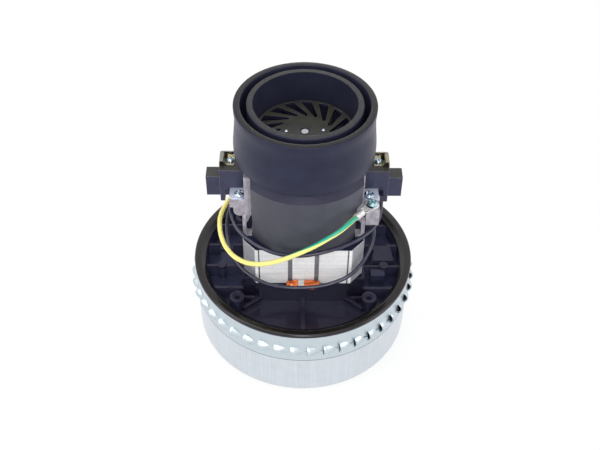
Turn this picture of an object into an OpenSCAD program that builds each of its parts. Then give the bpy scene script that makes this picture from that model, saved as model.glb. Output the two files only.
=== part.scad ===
// Two-stage bypass vacuum motor, standing on its fan housing.
// Z is the shaft axis, the inlet face is at z = 0, and the brushes lie along X.

/* [Fan housing] */
// Outside diameter of the drawn aluminium cup
cup_d = 143; // [120:0.5:160]
// Height of the cup up to the seam with the louvre band
cup_h = 33.6; // [28:0.1:45]
// Thickness of the housing sheet
sheet = 0.8; // [0.6:0.1:1.2]
// Diameter of the air inlet in the cup bottom
inlet_d = 50; // [40:0.5:56]
// Height of the inlet lip
inlet_lip = 5; // [3:0.1:5.2]
// Outside diameter of the louvre band
band_d = 143.6; // [120:0.1:160]
// Height of the band's top edge above the inlet face
band_top = 56; // [50:0.1:60]
// Number of exhaust louvres
louvre_count = 44; // [24:1:48]
// Half height of a louvre at its mouth
louvre_r = 4.15; // [3:0.05:4.5]
// Length of a louvre along the band
louvre_len = 9.9; // [8:0.1:9.9]
// Height of the louvre centres
louvre_z = 42.8; // [41:0.1:46]

/* [Fan-end bracket] */
// Diameter of the bracket's rim
rim_d = 144; // [121:0.5:161]
// Top of the rim
rim_top = 58.3; // [57.5:0.1:62]
// Thickness of the bracket floor
floor_t = 2.4; // [1.8:0.1:3]
// Underside of the bracket floor
floor_z = 42; // [41:0.1:43]
// Top of the pocket walls and screw bosses
pocket_top = 54; // [50:0.1:55]
// Thickness of the pocket walls
rib_t = 1.8; // [1.2:0.1:2.4]
// Spacing of the screw bosses across the brush direction
boss_x = 84.6; // [80:0.2:88]
// Spacing of the screw bosses along the other direction
boss_y = 73.6; // [68:0.2:76]
// Outside diameter of a screw boss
boss_d = 9.6; // [8:0.1:10]
// Hole diameter of a screw boss
boss_hole_d = 3.8; // [3:0.1:4.5]

/* [Motor] */
// Underside of the field laminations
stack_z = 62.2; // [61.9:0.1:64]
// Length of the field laminations
stack_len = 29.5; // [26:0.5:30]
// Width of the field laminations along the brush direction
stack_w = 75.6; // [74:0.2:76]
// Depth of the field laminations
stack_d = 64.4; // [62:0.2:65]
// Diameter of the field bore
field_bore_d = 41.8; // [41.6:0.1:43]
// Air gap between armature and field
air_gap = 0.5; // [0.4:0.05:0.8]
// Diameter of the shaft at its ends
shaft_d = 8; // [8:0.1:8.5]
// Diameter of the shaft through the armature
shaft_mid_d = 10; // [9:0.1:11]
// Diameter of the commutator
commutator_d = 24; // [22:0.5:25]
// Number of commutator bars
commutator_bars_n = 22; // [20:2:24]
// Height of the brush centre line
brush_z = 120.2; // [119:0.1:121]
// Width of a brush
brush_w = 5.9; // [5:0.1:6]
// Height of a brush
brush_h = 10.6; // [9:0.1:10.8]
// Length of a new brush
brush_len = 30; // [20:0.5:32]
// Distance between the outer ends of the brush holders
holder_span = 120; // [118:0.2:122]
// Outside diameter of the ball bearings
bearing_d = 22; // [22:0.1:22.4]
// Width of the ball bearings
bearing_w = 7; // [6:0.1:7]

/* [Cooling side] */
// Top of the whole motor
top_z = 180; // [172:0.5:182]
// Outside diameter of the rubber mounting ring
ring_d = 82.8; // [80:0.1:84]
// Wall of the rubber mounting ring
ring_wall = 4; // [3:0.1:4.5]
// Outside diameter of the cooling air neck
neck_d = 67.6; // [66:0.1:69]
// Inside diameter of the cooling air neck
neck_bore_d = 60.4; // [60:0.1:62]
// Outside diameter of the cover's long skirts
skirt_d = 74.6; // [74:0.1:76]
// Wall of the cover's long skirts
skirt_wall = 1.3; // [1:0.1:1.5]
// Diameter of the cooling fan
fan_d = 59.2; // [54:0.2:59.4]
// Number of slots and blades of the cooling fan
fan_slots = 16; // [12:1:18]
// Top face of the cooling fan
fan_top = 160; // [158:0.1:162]

/* [Leads] */
// Diameter of the earth lead
earth_wire_d = 3; // [2.4:0.1:3.1]
// Diameter of the black leads
black_wire_d = 2.5; // [2:0.1:2.6]

/* [Hidden] */
$fn = 96;
eps = 0.01;
// clearance of parts that are pressed or laid on each other in one body
seat = 0.02;
cup_r = cup_d / 2;
band_r = band_d / 2;
band_in = band_r - sheet;
rim_r = rim_d / 2;
floor_top = floor_z + floor_t;
well_out = band_in - 4;
well_r = well_out - 2.5;
pedestal_x = 39.5;
pedestal_y = 28;
pedestal_t = 2.2;
pedestal_top = stack_z - 0.6;
stack_top = stack_z + stack_len;
insulator_t = 0.5;
seat_z = stack_top + insulator_t;
shaft_r = shaft_d / 2;
bearing_r = bearing_d / 2;
low_bearing_z = 46;
top_bearing_z = 134;
ring_r = ring_d / 2;
spacer_r = 7;
first_z = 6.2;
second_z = 27.8;
impeller_h = 9.6;
impeller_eye = 23.5;
impeller_r = 61;
washer_t = 1.6;
nut_h = 6.2;
shoulder_z = 145.6;
shoulder_r = ring_r + 0.9;
shoulder_low = 139.3;
ledge_r = 38.4;
ledge_t = 4.1;
cut_x = 31.6;
wide_x = 34.7;
wide_z = 121;
ledge_in = ledge_r - 1.2;
ring_low = 146;
ring_step = 151;
fan_low = 149.2;
fan_disc = 2;
fan_phase = 23.45;
rivet_ring = 10.9;
stud_r = 2.5;
louvre_phase = -87.8;
neck_r = neck_d / 2;
neck_in = neck_bore_d / 2;
skirt_r = skirt_d / 2;
skirt_in = skirt_r - skirt_wall;
bolt_ring = skirt_in - 4.37;
bolt_x = bolt_ring * cos(39.23);
bolt_y = bolt_ring * sin(39.23);
bolt_low = 52;
foot_h = 1.5;
com_r = commutator_d / 2;
com_z = 108;
com_top = 128;
armature_r = field_bore_d / 2 - air_gap;
slot_ring_r = armature_r - 4.9;
tube_y = 9.3;
tube_z = 14.8;
tube_end = holder_span / 2;
flange_x = 51.6;
clip_x = flange_x - 6.7;
cavity_y = 7.3;
cavity_z = 12;
guide_wall = 0.43;
brush_gap = 0.3;
brush_in = com_r + brush_gap;
brush_out = brush_in + brush_len;
cavity_end = tube_end - 1.5;
block_top = 133.6;
block_low = 118.9;
lug_top = 118.7;
lug_low = 105.7;
plate_t = 1;
clip_t = 0.8;
clip_back = 7.9;
clip_len = 9.4;
earth_x = 41;
earth_y = -19.6;
earth_angle = atan2(-11.4, -10.1);
head_r = 3.1;
head_h = 2.2;
cord_sides = 8;

// Points along each lead, in mm, ends included.
earth_route = [
  [30.42, -31.54, 119.6], [27.2, -35.17, 119.4], [21.2, -39.6, 116.6], [13.6, -42.6, 112.8],
  [6, -44.6, 108.6], [-2.4, -45.6, 104], [-12, -45.2, 98], [-21, -43.2, 92.4],
  [-30, -39.4, 87.4], [-39, -33.2, 84], [-46.6, -24.8, 83.2], [-51.6, -15.2, 85.2],
  [-53.4, -6, 89.6], [-52.6, 1, 91.6], [-49.6, 8.6, 93.4], [-45.8, 16.4, 95.2], [-44.1, 23, 99],
  [-38.4, 29, 100.4], [-27.4, 39.2, 99], [-13.4, 45.8, 98], [1.6, 47.4, 98],
  [14.6, 45.2, 99.4], [23.6, 41, 99.4]
];
upper_route = [
  [47.7, -8.7, 113], [47.7, -9, 109.4], [47.2, -12.4, 104.2], [44.6, -18, 101.4],
  [40.4, -23.6, 100.6], [34.2, -29.4, 100.2], [26.4, -34.4, 99.8], [17.4, -38.2, 99.2],
  [7, -40.6, 98], [-4, -41, 96.6], [-15, -38.8, 95.8], [-24.4, -34, 95.4],
  [-32.6, -28, 95.8], [-39.6, -21.8, 97.8], [-43.8, -14.6, 100.6], [-45.6, -6.4, 102.4],
  [-44.8, 2, 102.6], [-42.8, 10.6, 101.2], [-41.8, 18.2, 98.2], [-39.4, 25.4, 96.4],
  [-32.6, 31.6, 95.6], [-23.4, 37, 95.2], [-12.4, 40.8, 95], [-2.4, 42.4, 95],
  [7, 42, 95]
];
lower_route = [
  [25.54, -9.6, 97.4], [29, -9.6, 97.4], [33, -12.6, 98], [37.2, -14.6, 98.8],
  [41, -15.4, 98.8], [43.4, -16.6, 95.8], [43.6, -18.8, 91], [42.4, -22, 85.8],
  [39.4, -26.6, 81.4], [35, -31.8, 77.8], [28.6, -36.6, 74.4], [19.6, -39.8, 71.6],
  [9, -41.8, 69.7], [-3, -42.2, 68.9], [-14.6, -41.2, 68.8], [-25, -38.2, 69.2],
  [-33.8, -32.6, 70], [-41, -25, 71.2], [-46.2, -15.8, 74], [-48.8, -6.4, 78.8],
  [-49.2, 3, 83.6], [-47.4, 12, 87.4], [-43, 21.6, 89.2], [-35.4, 32.2, 89.4],
  [-24.4, 41.2, 89], [-11.4, 46.4, 88.6], [1.4, 47.6, 88.4], [12.6, 46, 88.4]
];

function unit(v) = v / norm(v);
function carry(u, d) = unit(u - (u * d) * d);
function cord_dir(p, i) = unit(p[min(i + 1, len(p) - 1)] - p[max(i - 1, 0)]);
function cord_side(p, i) =
  i == 0 ? carry([0.3, 0.2, 1], cord_dir(p, 0)) : carry(cord_side(p, i - 1), cord_dir(p, i));
function cord_ring(p, i, r) =
  let (d = cord_dir(p, i), u = cord_side(p, i), w = cross(d, u))
  [for (k = [0:cord_sides - 1]) p[i] + r * (cos(k * 360 / cord_sides) * u
    + sin(k * 360 / cord_sides) * w)];
function cord_points(p, r) = [for (i = [0:len(p) - 1]) each cord_ring(p, i, r)];
function cord_walls(n) = [
  for (i = [0:n - 2])
    for (k = [0:cord_sides - 1])
      let (a = i * cord_sides + k, b = i * cord_sides + (k + 1) % cord_sides)
      each [[a, a + cord_sides, b], [b, a + cord_sides, b + cord_sides]]
];
function cord_caps(n) = [
  for (k = [1:cord_sides - 2])
    each [[0, k, k + 1], [(n - 1) * cord_sides, (n - 1) * cord_sides + k + 1,
      (n - 1) * cord_sides + k]]
];

module cord(p, r) {
  polyhedron(points = cord_points(p, r), faces = concat(cord_walls(len(p)), cord_caps(len(p))));
}

module tube(ro, ri, h) {
  difference() {
    cylinder(r = ro, h = h);
    translate([0, 0, -1])
      cylinder(r = ri, h = h + 2);
  }
}

module box(x0, x1, y0, y1, z0, z1) {
  translate([x0, y0, z0])
    cube([x1 - x0, y1 - y0, z1 - z0]);
}

function arc(x, y, r, from, to, n) = [
  for (i = [0:n])
    [x + r * cos(from + (to - from) * i / n), y + r * sin(from + (to - from) * i / n)]
];

module corners() {
  for (i = [0, 1])
    for (j = [0, 1])
      mirror([i, 0, 0])
        mirror([0, j, 0])
          children();
}

module four(x, y) {
  for (i = [-1, 1])
    for (j = [-1, 1])
      translate([i * x, j * y, 0])
        children();
}

// Drawn cup with a lip round the inlet and a neck that enters the louvre band
module inlet_cup() {
  corner = 4.5;
  lip_r = inlet_d / 2;
  neck = band_in - 0.1;
  color([0.80, 0.80, 0.82])
    difference() {
      rotate_extrude()
        union() {
          translate([cup_r - corner, corner])
            intersection() {
              difference() {
                circle(r = corner);
                circle(r = corner - sheet);
              }
              translate([0, -corner])
                square([corner, corner]);
            }
          translate([lip_r, 0])
            square([cup_r - corner - lip_r, sheet]);
          translate([cup_r - sheet, corner])
            square([sheet, cup_h - corner - 0.7]);
          translate([lip_r, 0])
            square([sheet, inlet_lip]);
          polygon([
            [cup_r - sheet, cup_h - 0.8], [cup_r, cup_h - 0.8], [cup_r, cup_h - 0.5],
            [neck, cup_h - 0.05], [neck, cup_h + 3.4], [neck - sheet, cup_h + 3.4],
            [neck - sheet, cup_h - 0.45]
          ]);
        }
      translate([0, 0, -1])
        cylinder(r = lip_r, h = inlet_lip + 2);
    }
}

// Zinc-coated band with pressed louvres, each a half cone open at its wide end
module louvre_band() {
  louvre_axis = band_r + 3 - louvre_r;
  color([0.78, 0.80, 0.84])
    difference() {
      union() {
        translate([0, 0, cup_h + 0.1])
          cylinder(r = band_r, h = band_top - cup_h - 0.1);
        for (i = [0:louvre_count - 1])
          rotate([0, 0, louvre_phase + i * 360 / louvre_count])
            translate([louvre_axis, 0, louvre_z])
              rotate([-90, 0, 0])
                cylinder(r1 = louvre_r, r2 = 0.35, h = louvre_len, $fn = 24);
      }
      translate([0, 0, cup_h - 1])
        cylinder(r = band_in, h = band_top - cup_h + 2);
      for (i = [0:louvre_count - 1])
        rotate([0, 0, louvre_phase + i * 360 / louvre_count])
          translate([louvre_axis, -0.1, louvre_z])
            rotate([-90, 0, 0])
              cylinder(r1 = louvre_r - 0.66, r2 = 0.6, h = louvre_len - 2.6, $fn = 24);
    }
}

// Half of a pocket row beside the motor seat
module pocket_side() {
  for (y = [-28.9, -9.6, 28.9])
    box(pedestal_x - 1, well_r + 0.6, y - rib_t / 2, y + rib_t / 2, floor_top - 0.5, pocket_top);
  for (x = [pedestal_x - 1, 56.2])
    box(x, x + 9, 9.6 - rib_t / 2, 9.6 + rib_t / 2, floor_top - 0.5, pocket_top);
  for (y = [-25.9, -6.6, 12.6])
    box(pedestal_x - 1, 58, y, y + 3, floor_top - 0.5, floor_top + 1.6);
  translate([53.6, -9.2, floor_top - 0.5])
    cylinder(r = 3.1, h = pocket_top - floor_top + 1.1);
}

// Plastic bracket that closes the fan housing and carries the motor
module fan_end_bracket() {
  color([0.10, 0.10, 0.12])
    difference() {
      union() {
        rotate_extrude()
          polygon([
            [well_r, floor_z], [well_out, floor_z], [well_out, band_top - 2.4],
            [band_in - 0.2, band_top - 2.4], [band_in - 0.2, band_top + 0.1],
            [rim_r, band_top + 0.1], [rim_r, rim_top - 1], [rim_r - 1, rim_top - 0.15],
            [rim_r - 2.4, rim_top], [well_out + 0.8, rim_top - 0.25], [well_out, rim_top - 0.9],
            [well_r, rim_top - 2.6]
          ]);
        translate([0, 0, floor_z])
          cylinder(r = well_r + 0.5, h = floor_t);
        intersection() {
          union() {
            pocket_side();
            mirror([1, 0, 0])
              pocket_side();
            // moulded block and small box in the right-hand pockets
            translate([0, 0, floor_top - 0.5])
              linear_extrude(pocket_top - floor_top + 0.5)
                polygon([[48.4, 9], [59.2, 9], [60.6, -4.6], [46.4, -4.6]]);
            box(44.6, 53.8, -17.6, -11.6, floor_top - 0.5, pocket_top - 0.6);
            four(boss_x / 2, boss_y / 2)
              translate([0, 0, floor_top - 0.5])
                cylinder(r = boss_d / 2, h = pocket_top - floor_top + 0.5);
            corners()
              union() {
                translate([20, 25, floor_top - 0.5])
                  rotate([0, 0, 39.5])
                    translate([0, -1.2, 0])
                      cube([24, 2.4, 3.4]);
                box(31, 39, 32.2, 33.8, floor_top - 0.5, floor_top + 5.6);
              }
            box(-1.5, 1.5, -66, -26, floor_top - 0.5, floor_top + 2.6);
            box(-1.5, 1.5, 26, 66, floor_top - 0.5, floor_top + 2.6);
          }
          cylinder(r = well_r + 0.5, h = 90);
        }
        difference() {
          box(-pedestal_x, pedestal_x, -pedestal_y, pedestal_y, floor_top - 0.5, pedestal_top);
          box(-pedestal_x + pedestal_t, pedestal_x - pedestal_t, -pedestal_y + pedestal_t,
            pedestal_y - pedestal_t, floor_top - 1, pedestal_top + 1);
          box(-27.5, 27.5, -pedestal_y - 1, pedestal_y + 1, floor_top + 2, pedestal_top + 1);
        }
        corners()
          union() {
            box(bolt_x, pedestal_x - 1, bolt_y - 1.1, bolt_y + 1.1, floor_top - 0.5, pedestal_top);
            box(26.6, 28.4, 26, 32, floor_top - 0.5, pedestal_top - 0.4);
            box(-1, 28.4, 30.2, 32, floor_top - 0.5, 58.8);
            box(8.6, 28.4, 30.2, 32, floor_top - 0.5, pedestal_top - 0.4);
          }
        four(bolt_x, bolt_y)
          translate([0, 0, floor_top - 0.5])
            cylinder(r = 4.6, h = pedestal_top - floor_top + 0.5);
        translate([0, 0, floor_z])
          cylinder(r = 15.5, h = low_bearing_z + bearing_w + 0.1 - floor_z);
      }
      translate([0, 0, low_bearing_z])
        cylinder(r = bearing_r + seat, h = 30);
      translate([0, 0, floor_z - 1])
        cylinder(r = 7, h = 10);
      four(boss_x / 2, boss_y / 2)
        translate([0, 0, floor_top + 0.6])
          cylinder(r = boss_hole_d / 2, h = 20);
      four(boss_x / 2, boss_y / 2)
        translate([0, 0, pocket_top - 0.5])
          cylinder(r = boss_hole_d / 2 + 0.9, h = 2);
      four(bolt_x, bolt_y)
        translate([0, 0, 50])
          cylinder(r = 2.02, h = 20);
    }
}

module blades(n, ri, ro, z, h, t) {
  for (i = [0:n - 1])
    rotate([0, 0, i * 360 / n])
      translate([0, 0, z])
        linear_extrude(h)
          intersection() {
            difference() {
              circle(r = ro);
              circle(r = ri);
            }
            translate([45, 0])
              difference() {
                circle(r = 40);
                circle(r = 40 - t);
              }
            square([80, 80]);
          }
}

// Fixed fan that leads the air of the first stage back to the centre
module stationary_fan() {
  color([0.16, 0.16, 0.18])
    union() {
      translate([0, 0, 17.3])
        difference() {
          cylinder(r = 64, h = 1.2);
          translate([0, 0, -1])
            cylinder(r = 9, h = 4);
        }
      blades(9, 26, 63.5, 18.4, 6.7, 1.2);
      translate([0, 0, 25])
        difference() {
          union() {
            cylinder(r = cup_r - sheet - 0.05, h = 1.2);
            cylinder(r = 24.2, h = 2.2);
          }
          translate([0, 0, -1])
            cylinder(r = 23.2, h = 5);
        }
      difference() {
        translate([0, 0, 25])
          cylinder(r = cup_r - sheet - 0.05, h = 6);
        translate([0, 0, 24])
          cylinder(r = cup_r - sheet - 1.3, h = 9);
      }
    }
}

module air_seal() {
  color([0.25, 0.24, 0.22])
    translate([0, 0, 17.3])
      tube(9 - seat, spacer_r + 0.3, 1.2);
}

module bearing_retainer() {
  color([0.72, 0.73, 0.75])
    translate([0, 0, low_bearing_z + bearing_w + 0.12])
      tube(15, 8.6, 1);
}

// Outline of a field lamination
module stack_outline(inset) {
  w = stack_w / 2 - inset;
  d = stack_d / 2 - inset;
  polygon([
    [w, -23], [29.8 - inset / 2, -d], [-29.8 + inset / 2, -d], [-w, -23],
    [-w, 23], [-29.8 + inset / 2, d], [29.8 - inset / 2, d], [w, 23]
  ]);
}

module stack_holes(bore) {
  circle(r = bore);
  for (x = [-20.1, 12.4])
    for (y = [-29.7, 22.1])
      translate([x, y])
        square([7.7, 7.6]);
  for (x = [-bolt_x, bolt_x])
    for (y = [-bolt_y, bolt_y])
      translate([x, y])
        circle(r = 2.3);
}

// Laminated field core
module field_core() {
  color([0.86, 0.86, 0.88])
    translate([0, 0, stack_z])
      linear_extrude(stack_len)
        difference() {
          stack_outline(0);
          stack_holes(field_bore_d / 2);
          for (i = [-1, 1])
            for (j = [-1, 1])
              translate([i * 8.3 - 1.4, j * stack_d / 2 - 0.9])
                square([2.8, 1.8]);
          for (i = [-1, 1])
            for (j = [-1, 1])
              translate([i * 27.7 - 0.4, j * stack_d / 2 - 0.4])
                square([0.8, 0.8]);
        }
}

module field_coil() {
  difference() {
    union() {
      box(-19.8, 19.8, -29.5, -22.3, 55.6, 98.4);
      box(-8, 8, -34.4, -29, 59.2, 61.5);
      box(-8, 8, -34.4, -32.35, 59.2, 63);
      translate([-8, -35.3, 64.1])
        rotate([0, 90, 0])
          cylinder(r = 2.95, h = 16);
      for (i = [-1, 1])
        translate([i * 8, -35.3, 64.1])
          sphere(r = 2.95, $fn = 48);
    }
    box(-12.7, 12.7, -32.3, -20, 61.5, 92.4);
    box(-30, 30, -32.3, -29.6, 61.5, 99);
    for (i = [-1, 1])
      translate([i * 19.8, 0, 98.4])
        rotate([0, 45, 0])
          cube([6, 90, 6], center = true);
    for (i = [-1, 1])
      translate([i * 19.8, 0, 55.6])
        rotate([0, 45, 0])
          cube([6, 90, 6], center = true);
  }
}

module field_coil_front() {
  color([0.80, 0.42, 0.22])
    field_coil();
}

module field_coil_rear() {
  color([0.80, 0.42, 0.22])
    mirror([0, 1, 0])
      field_coil();
}

// White cords tied round the lower ends of the coils
module coil_ties() {
  color([0.92, 0.93, 0.90])
    for (j = [0, 1])
      mirror([0, j, 0])
        translate([-3.2, -35.3, 64.1])
          rotate([0, 90, 0])
            difference() {
              cylinder(r = 3.35, h = 3.6);
              translate([0, 0, -1])
                cylinder(r = 2.97, h = 6);
              translate([-4.5, 2.6, -1])
                cube([9, 3, 6]);
              translate([0.2, -5, -1])
                cube([5, 10, 6]);
            }
}

module insulator_plate(z) {
  translate([0, 0, z])
    linear_extrude(insulator_t - seat)
      difference() {
        stack_outline(0.4);
        stack_holes(field_bore_d / 2 + 0.5);
      }
}

// Black insulating plates on the laminations; the upper one has two lead posts
module upper_insulator() {
  color([0.10, 0.11, 0.15])
    union() {
      insulator_plate(stack_top + seat);
      for (i = [0, 1])
        mirror([i, 0, 0])
          box(21.6, 25.5, -11.6, -7.6, stack_top + 0.1, stack_top + 8);
    }
}

module lower_insulator() {
  color([0.10, 0.11, 0.15])
    insulator_plate(stack_z - insulator_t);
}

// Lug beside the bracket arm, with a rounded lower corner
module lug(depth) {
  translate([0, -7, 0])
    rotate([90, 0, 0])
      linear_extrude(depth)
        difference() {
          translate([31.9, lug_low])
            square([13.5, lug_top - lug_low]);
          translate([43.2, 0])
            square([5, 112.6]);
          difference() {
            translate([39.2, lug_low - 1])
              square([5, 5]);
            translate([39.2, lug_low + 4])
              circle(r = 4);
          }
        }
}

module bracket_side() {
  // posts, top beam and the arm to the hub
  for (j = [0, 1])
    mirror([0, j, 0])
      union() {
        translate([0, 19, 0])
          rotate([90, 0, 0])
            linear_extrude(6)
              polygon([[31.9, 139.2], [36, 139.2], [36, 103.5], [34.6, 103.5], [31.9, 111]]);
        box(35.3, 37.6, 17, 20, seat_z, lug_low + 3);
        box(32.1, 37.6, 14.9, 20, seat_z, seat_z + foot_h);
        box(21, 32.5, 12.2, 16.9, seat_z, seat_z + foot_h);
        translate([bolt_x, bolt_y, seat_z])
          cylinder(r = 3.8, h = foot_h);
        box(bolt_x - 3, bolt_x + 3, 15, bolt_y, seat_z, seat_z + foot_h);
      }
  box(31.9, 36, -19, 19, 130.6, 139.2);
  box(12, 34, -5, 5, 133.2, 139.2);
  // shelf under the brush holder
  box(31.9, 45, -7.2, 8.2, lug_low, brush_z - tube_z / 2 - 0.05);
  lug(8.8);
  translate([0, 1, 0])
    mirror([0, 1, 0])
      lug(8.8);
}

// Die-cast bracket over the commutator
module commutator_bracket() {
  color([0.62, 0.61, 0.62])
    difference() {
      union() {
        bracket_side();
        mirror([1, 0, 0])
          bracket_side();
        box(37.4, 45.4, -23.8, -15, 106.2, lug_top);
        translate([0, 0, 131.6])
          cylinder(r = 15, h = 10.4);
      }
      translate([0, 0, top_bearing_z - 0.02])
        cylinder(r = bearing_r + seat, h = 20);
      translate([0, 0, 120])
        cylinder(r = 8.5, h = 20);
      four(bolt_x, bolt_y)
        translate([0, 0, 80])
          cylinder(r = 2.3, h = 30);
      for (x = [-39.4, 39.4])
        for (y = [-12.4, 13.4])
          translate([x, y, 110])
            cylinder(r = 1.95, h = 20);
      translate([earth_x, earth_y, 109])
        cylinder(r = 1.95, h = 20);
      box(-33, 33, -8.4, 8.4, brush_z - tube_z / 2 - 0.3, 130.6);
      // the front post on the right is thinner, behind the cover's wider edge
      box(31, 37, -20, -16.4, lug_top + 0.4, 141);
    }
}

// Long screws through the laminations into the fan-end bracket
module stack_screws() {
  color([0.70, 0.71, 0.74])
    four(bolt_x, bolt_y)
      union() {
        translate([0, 0, bolt_low])
          cylinder(r = 2, h = seat_z + foot_h - bolt_low + 0.1);
        translate([0, 0, seat_z + foot_h + seat])
          difference() {
            cylinder(r = 3.5, h = 2.6);
            translate([-2.5, -0.45, 1.4])
              cube([5, 0.9, 3]);
          }
      }
}

module race(ro, ri, groove) {
  difference() {
    tube(ro, ri, bearing_w);
    rotate_extrude()
      translate([7.5, bearing_w / 2])
        circle(r = groove);
  }
}

module balls(z) {
  for (i = [0:6])
    rotate([0, 0, i * 360 / 7])
      translate([7.5, 0, z + bearing_w / 2])
        sphere(r = 1.98, $fn = 36);
}

module lower_bearing_outer_ring() {
  color([0.75, 0.75, 0.77])
    translate([0, 0, low_bearing_z + seat])
      race(bearing_r, 8.8, 2.03);
}

module lower_bearing_balls() {
  color([0.82, 0.82, 0.84])
    balls(low_bearing_z + seat);
}

module lower_bearing_inner_ring() {
  color([0.75, 0.75, 0.77])
    translate([0, 0, low_bearing_z + seat])
      race(6.3, shaft_r + seat, 2.05);
}

module upper_bearing_outer_ring() {
  color([0.75, 0.75, 0.77])
    translate([0, 0, top_bearing_z])
      race(bearing_r, 8.8, 2.03);
}

module upper_bearing_balls() {
  color([0.82, 0.82, 0.84])
    balls(top_bearing_z);
}

module upper_bearing_inner_ring() {
  color([0.75, 0.75, 0.77])
    translate([0, 0, top_bearing_z])
      race(6.3, shaft_r + seat, 2.05);
}

// Moulded brush holder: square tube, block and outer flange, right-hand side
module brush_holder() {
  half_y = tube_y / 2;
  low = brush_z - tube_z / 2;
  difference() {
    union() {
      box(14.5, tube_end, -half_y, half_y, low, low + tube_z);
      box(36.2, flange_x - 2.6, -6, 7, block_low, block_top);
      box(flange_x - 2.8, flange_x, -6, 7, 109.2, block_top);
    }
    box(13, cavity_end, -cavity_y / 2, cavity_y / 2, brush_z - cavity_z / 2,
      brush_z + cavity_z / 2);
    box(36, 47.2, -7, -4.66, block_low - 1, block_low + 1.1);
    box(36, 47.2, 5.6, 8, block_low - 1, block_low + 1.1);
    translate([clip_x, 2.7, 128])
      cylinder(r = 1.45, h = 9);
  }
}

module brush_guide() {
  gy = cavity_y / 2 - seat;
  gz = cavity_z / 2 - seat;
  difference() {
    box(14.6, cavity_end - seat, -gy, gy, brush_z - gz, brush_z + gz);
    box(13, 60, -gy + guide_wall, gy - guide_wall, brush_z - gz + guide_wall,
      brush_z + gz - guide_wall);
  }
}

module brush() {
  box(brush_in, brush_out, -brush_w / 2, brush_w / 2, brush_z - brush_h / 2,
    brush_z + brush_h / 2);
}

// Coil spring behind the brush, drawn as a plain sleeve
module brush_spring() {
  translate([brush_out + 0.3, 0, brush_z])
    rotate([0, 90, 0])
      tube(2.7, 2.1, cavity_end - 0.1 - brush_out - 0.3);
}

// Formed sheet clip on the holder, with a humped outer edge and a turned-up back wall
module holder_clip() {
  translate([clip_x, clip_back, block_top])
    rotate([90, 0, 0])
      linear_extrude(clip_t)
        polygon(concat([[6.7, seat]], arc(5, 2.4, 1.7, 0, 90, 6), [[-2.4, 4.1], [-2.4, seat]]));
  translate([clip_x, clip_back, block_top])
    rotate([90, 0, 0])
      linear_extrude(clip_len)
        polygon(concat(
          [[6.7, seat]], arc(5, 2.4, 1.7, 0, 180, 12),
          [[2.9, 1.6], [2.4, 1.1], [1.8, clip_t], [-2.4, clip_t], [-2.4, seat],
          [2, seat], [2.8, 0.3], [3.6, 1.2]],
          arc(5, 2.4, 1.7 - clip_t, 180, 0, 12), [[6.7 - clip_t, seat]]
        ));
}

module brush_holder_right() {
  color([0.13, 0.13, 0.16])
    brush_holder();
}

module brush_holder_left() {
  color([0.13, 0.13, 0.16])
    mirror([1, 0, 0])
      brush_holder();
}

module brush_guide_right() {
  color([0.80, 0.66, 0.34])
    brush_guide();
}

module brush_guide_left() {
  color([0.80, 0.66, 0.34])
    mirror([1, 0, 0])
      brush_guide();
}

module brush_right() {
  color([0.18, 0.18, 0.18])
    brush();
}

module brush_left() {
  color([0.18, 0.18, 0.18])
    mirror([1, 0, 0])
      brush();
}

module brush_spring_right() {
  color([0.70, 0.70, 0.72])
    brush_spring();
}

module brush_spring_left() {
  color([0.70, 0.70, 0.72])
    mirror([1, 0, 0])
      brush_spring();
}

module clip_with_hole() {
  difference() {
    holder_clip();
    translate([clip_x, 2.7, 130])
      cylinder(r = 1.6, h = 6);
  }
}

module holder_clip_right() {
  color([0.72, 0.72, 0.62])
    clip_with_hole();
}

module holder_clip_left() {
  color([0.72, 0.72, 0.62])
    mirror([1, 0, 0])
      clip_with_hole();
}

module cross_screw(shank_r, shank_l, hr, hh) {
  difference() {
    union() {
      translate([0, 0, -shank_l])
        cylinder(r = shank_r, h = shank_l + 0.1);
      cylinder(r = hr, h = hh * 0.55);
      translate([0, 0, hh * 0.55])
        cylinder(r1 = hr, r2 = hr * 0.72, h = hh * 0.45);
    }
    for (a = [0, 90])
      rotate([0, 0, a])
        translate([-hr * 0.6, -hr * 0.12, hh * 0.45])
          cube([hr * 1.2, hr * 0.24, hh]);
  }
}

module clip_screws() {
  color([0.74, 0.73, 0.66])
    for (i = [-1, 1])
      translate([i * clip_x, 2.7, block_top + clip_t + seat])
        cross_screw(1.43, 4, 2.2, 1.6);
}

module clamp_plate_front() {
  difference() {
    union() {
      box(36.4, 45.4, -13.4, -4.8, lug_top + seat, lug_top + plate_t);
      box(38.4, 43.4, -15.4, -13, lug_top + seat, lug_top + plate_t);
      for (x = [38.4, 43.4])
        translate([x, -13.4, lug_top + seat])
          cylinder(r = 2, h = plate_t - seat);
    }
    translate([39.4, -12.4, lug_top - 1])
      cylinder(r = 2.1, h = 4);
  }
}

// Four zinc plates that hold the brush holders down on the lugs
module clamp_plates() {
  color([0.80, 0.83, 0.88])
    for (i = [0, 1])
      mirror([i, 0, 0])
        union() {
          clamp_plate_front();
          translate([0, 1, 0])
            mirror([0, 1, 0])
              clamp_plate_front();
        }
}

module clamp_screws() {
  color([0.80, 0.83, 0.88])
    for (i = [-1, 1])
      union() {
        translate([i * 39.4, -12.4, lug_top + plate_t + seat])
          cross_screw(1.93, 9, head_r, head_h);
        translate([i * 39.4, 13.4, lug_top + plate_t + seat])
          cross_screw(1.93, 9, head_r, head_h);
      }
}

module earth_screw() {
  color([0.78, 0.84, 0.86])
    translate([earth_x, earth_y, lug_top + 0.8 + 2 * seat])
      cross_screw(1.93, 8, head_r, head_h);
}

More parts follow.
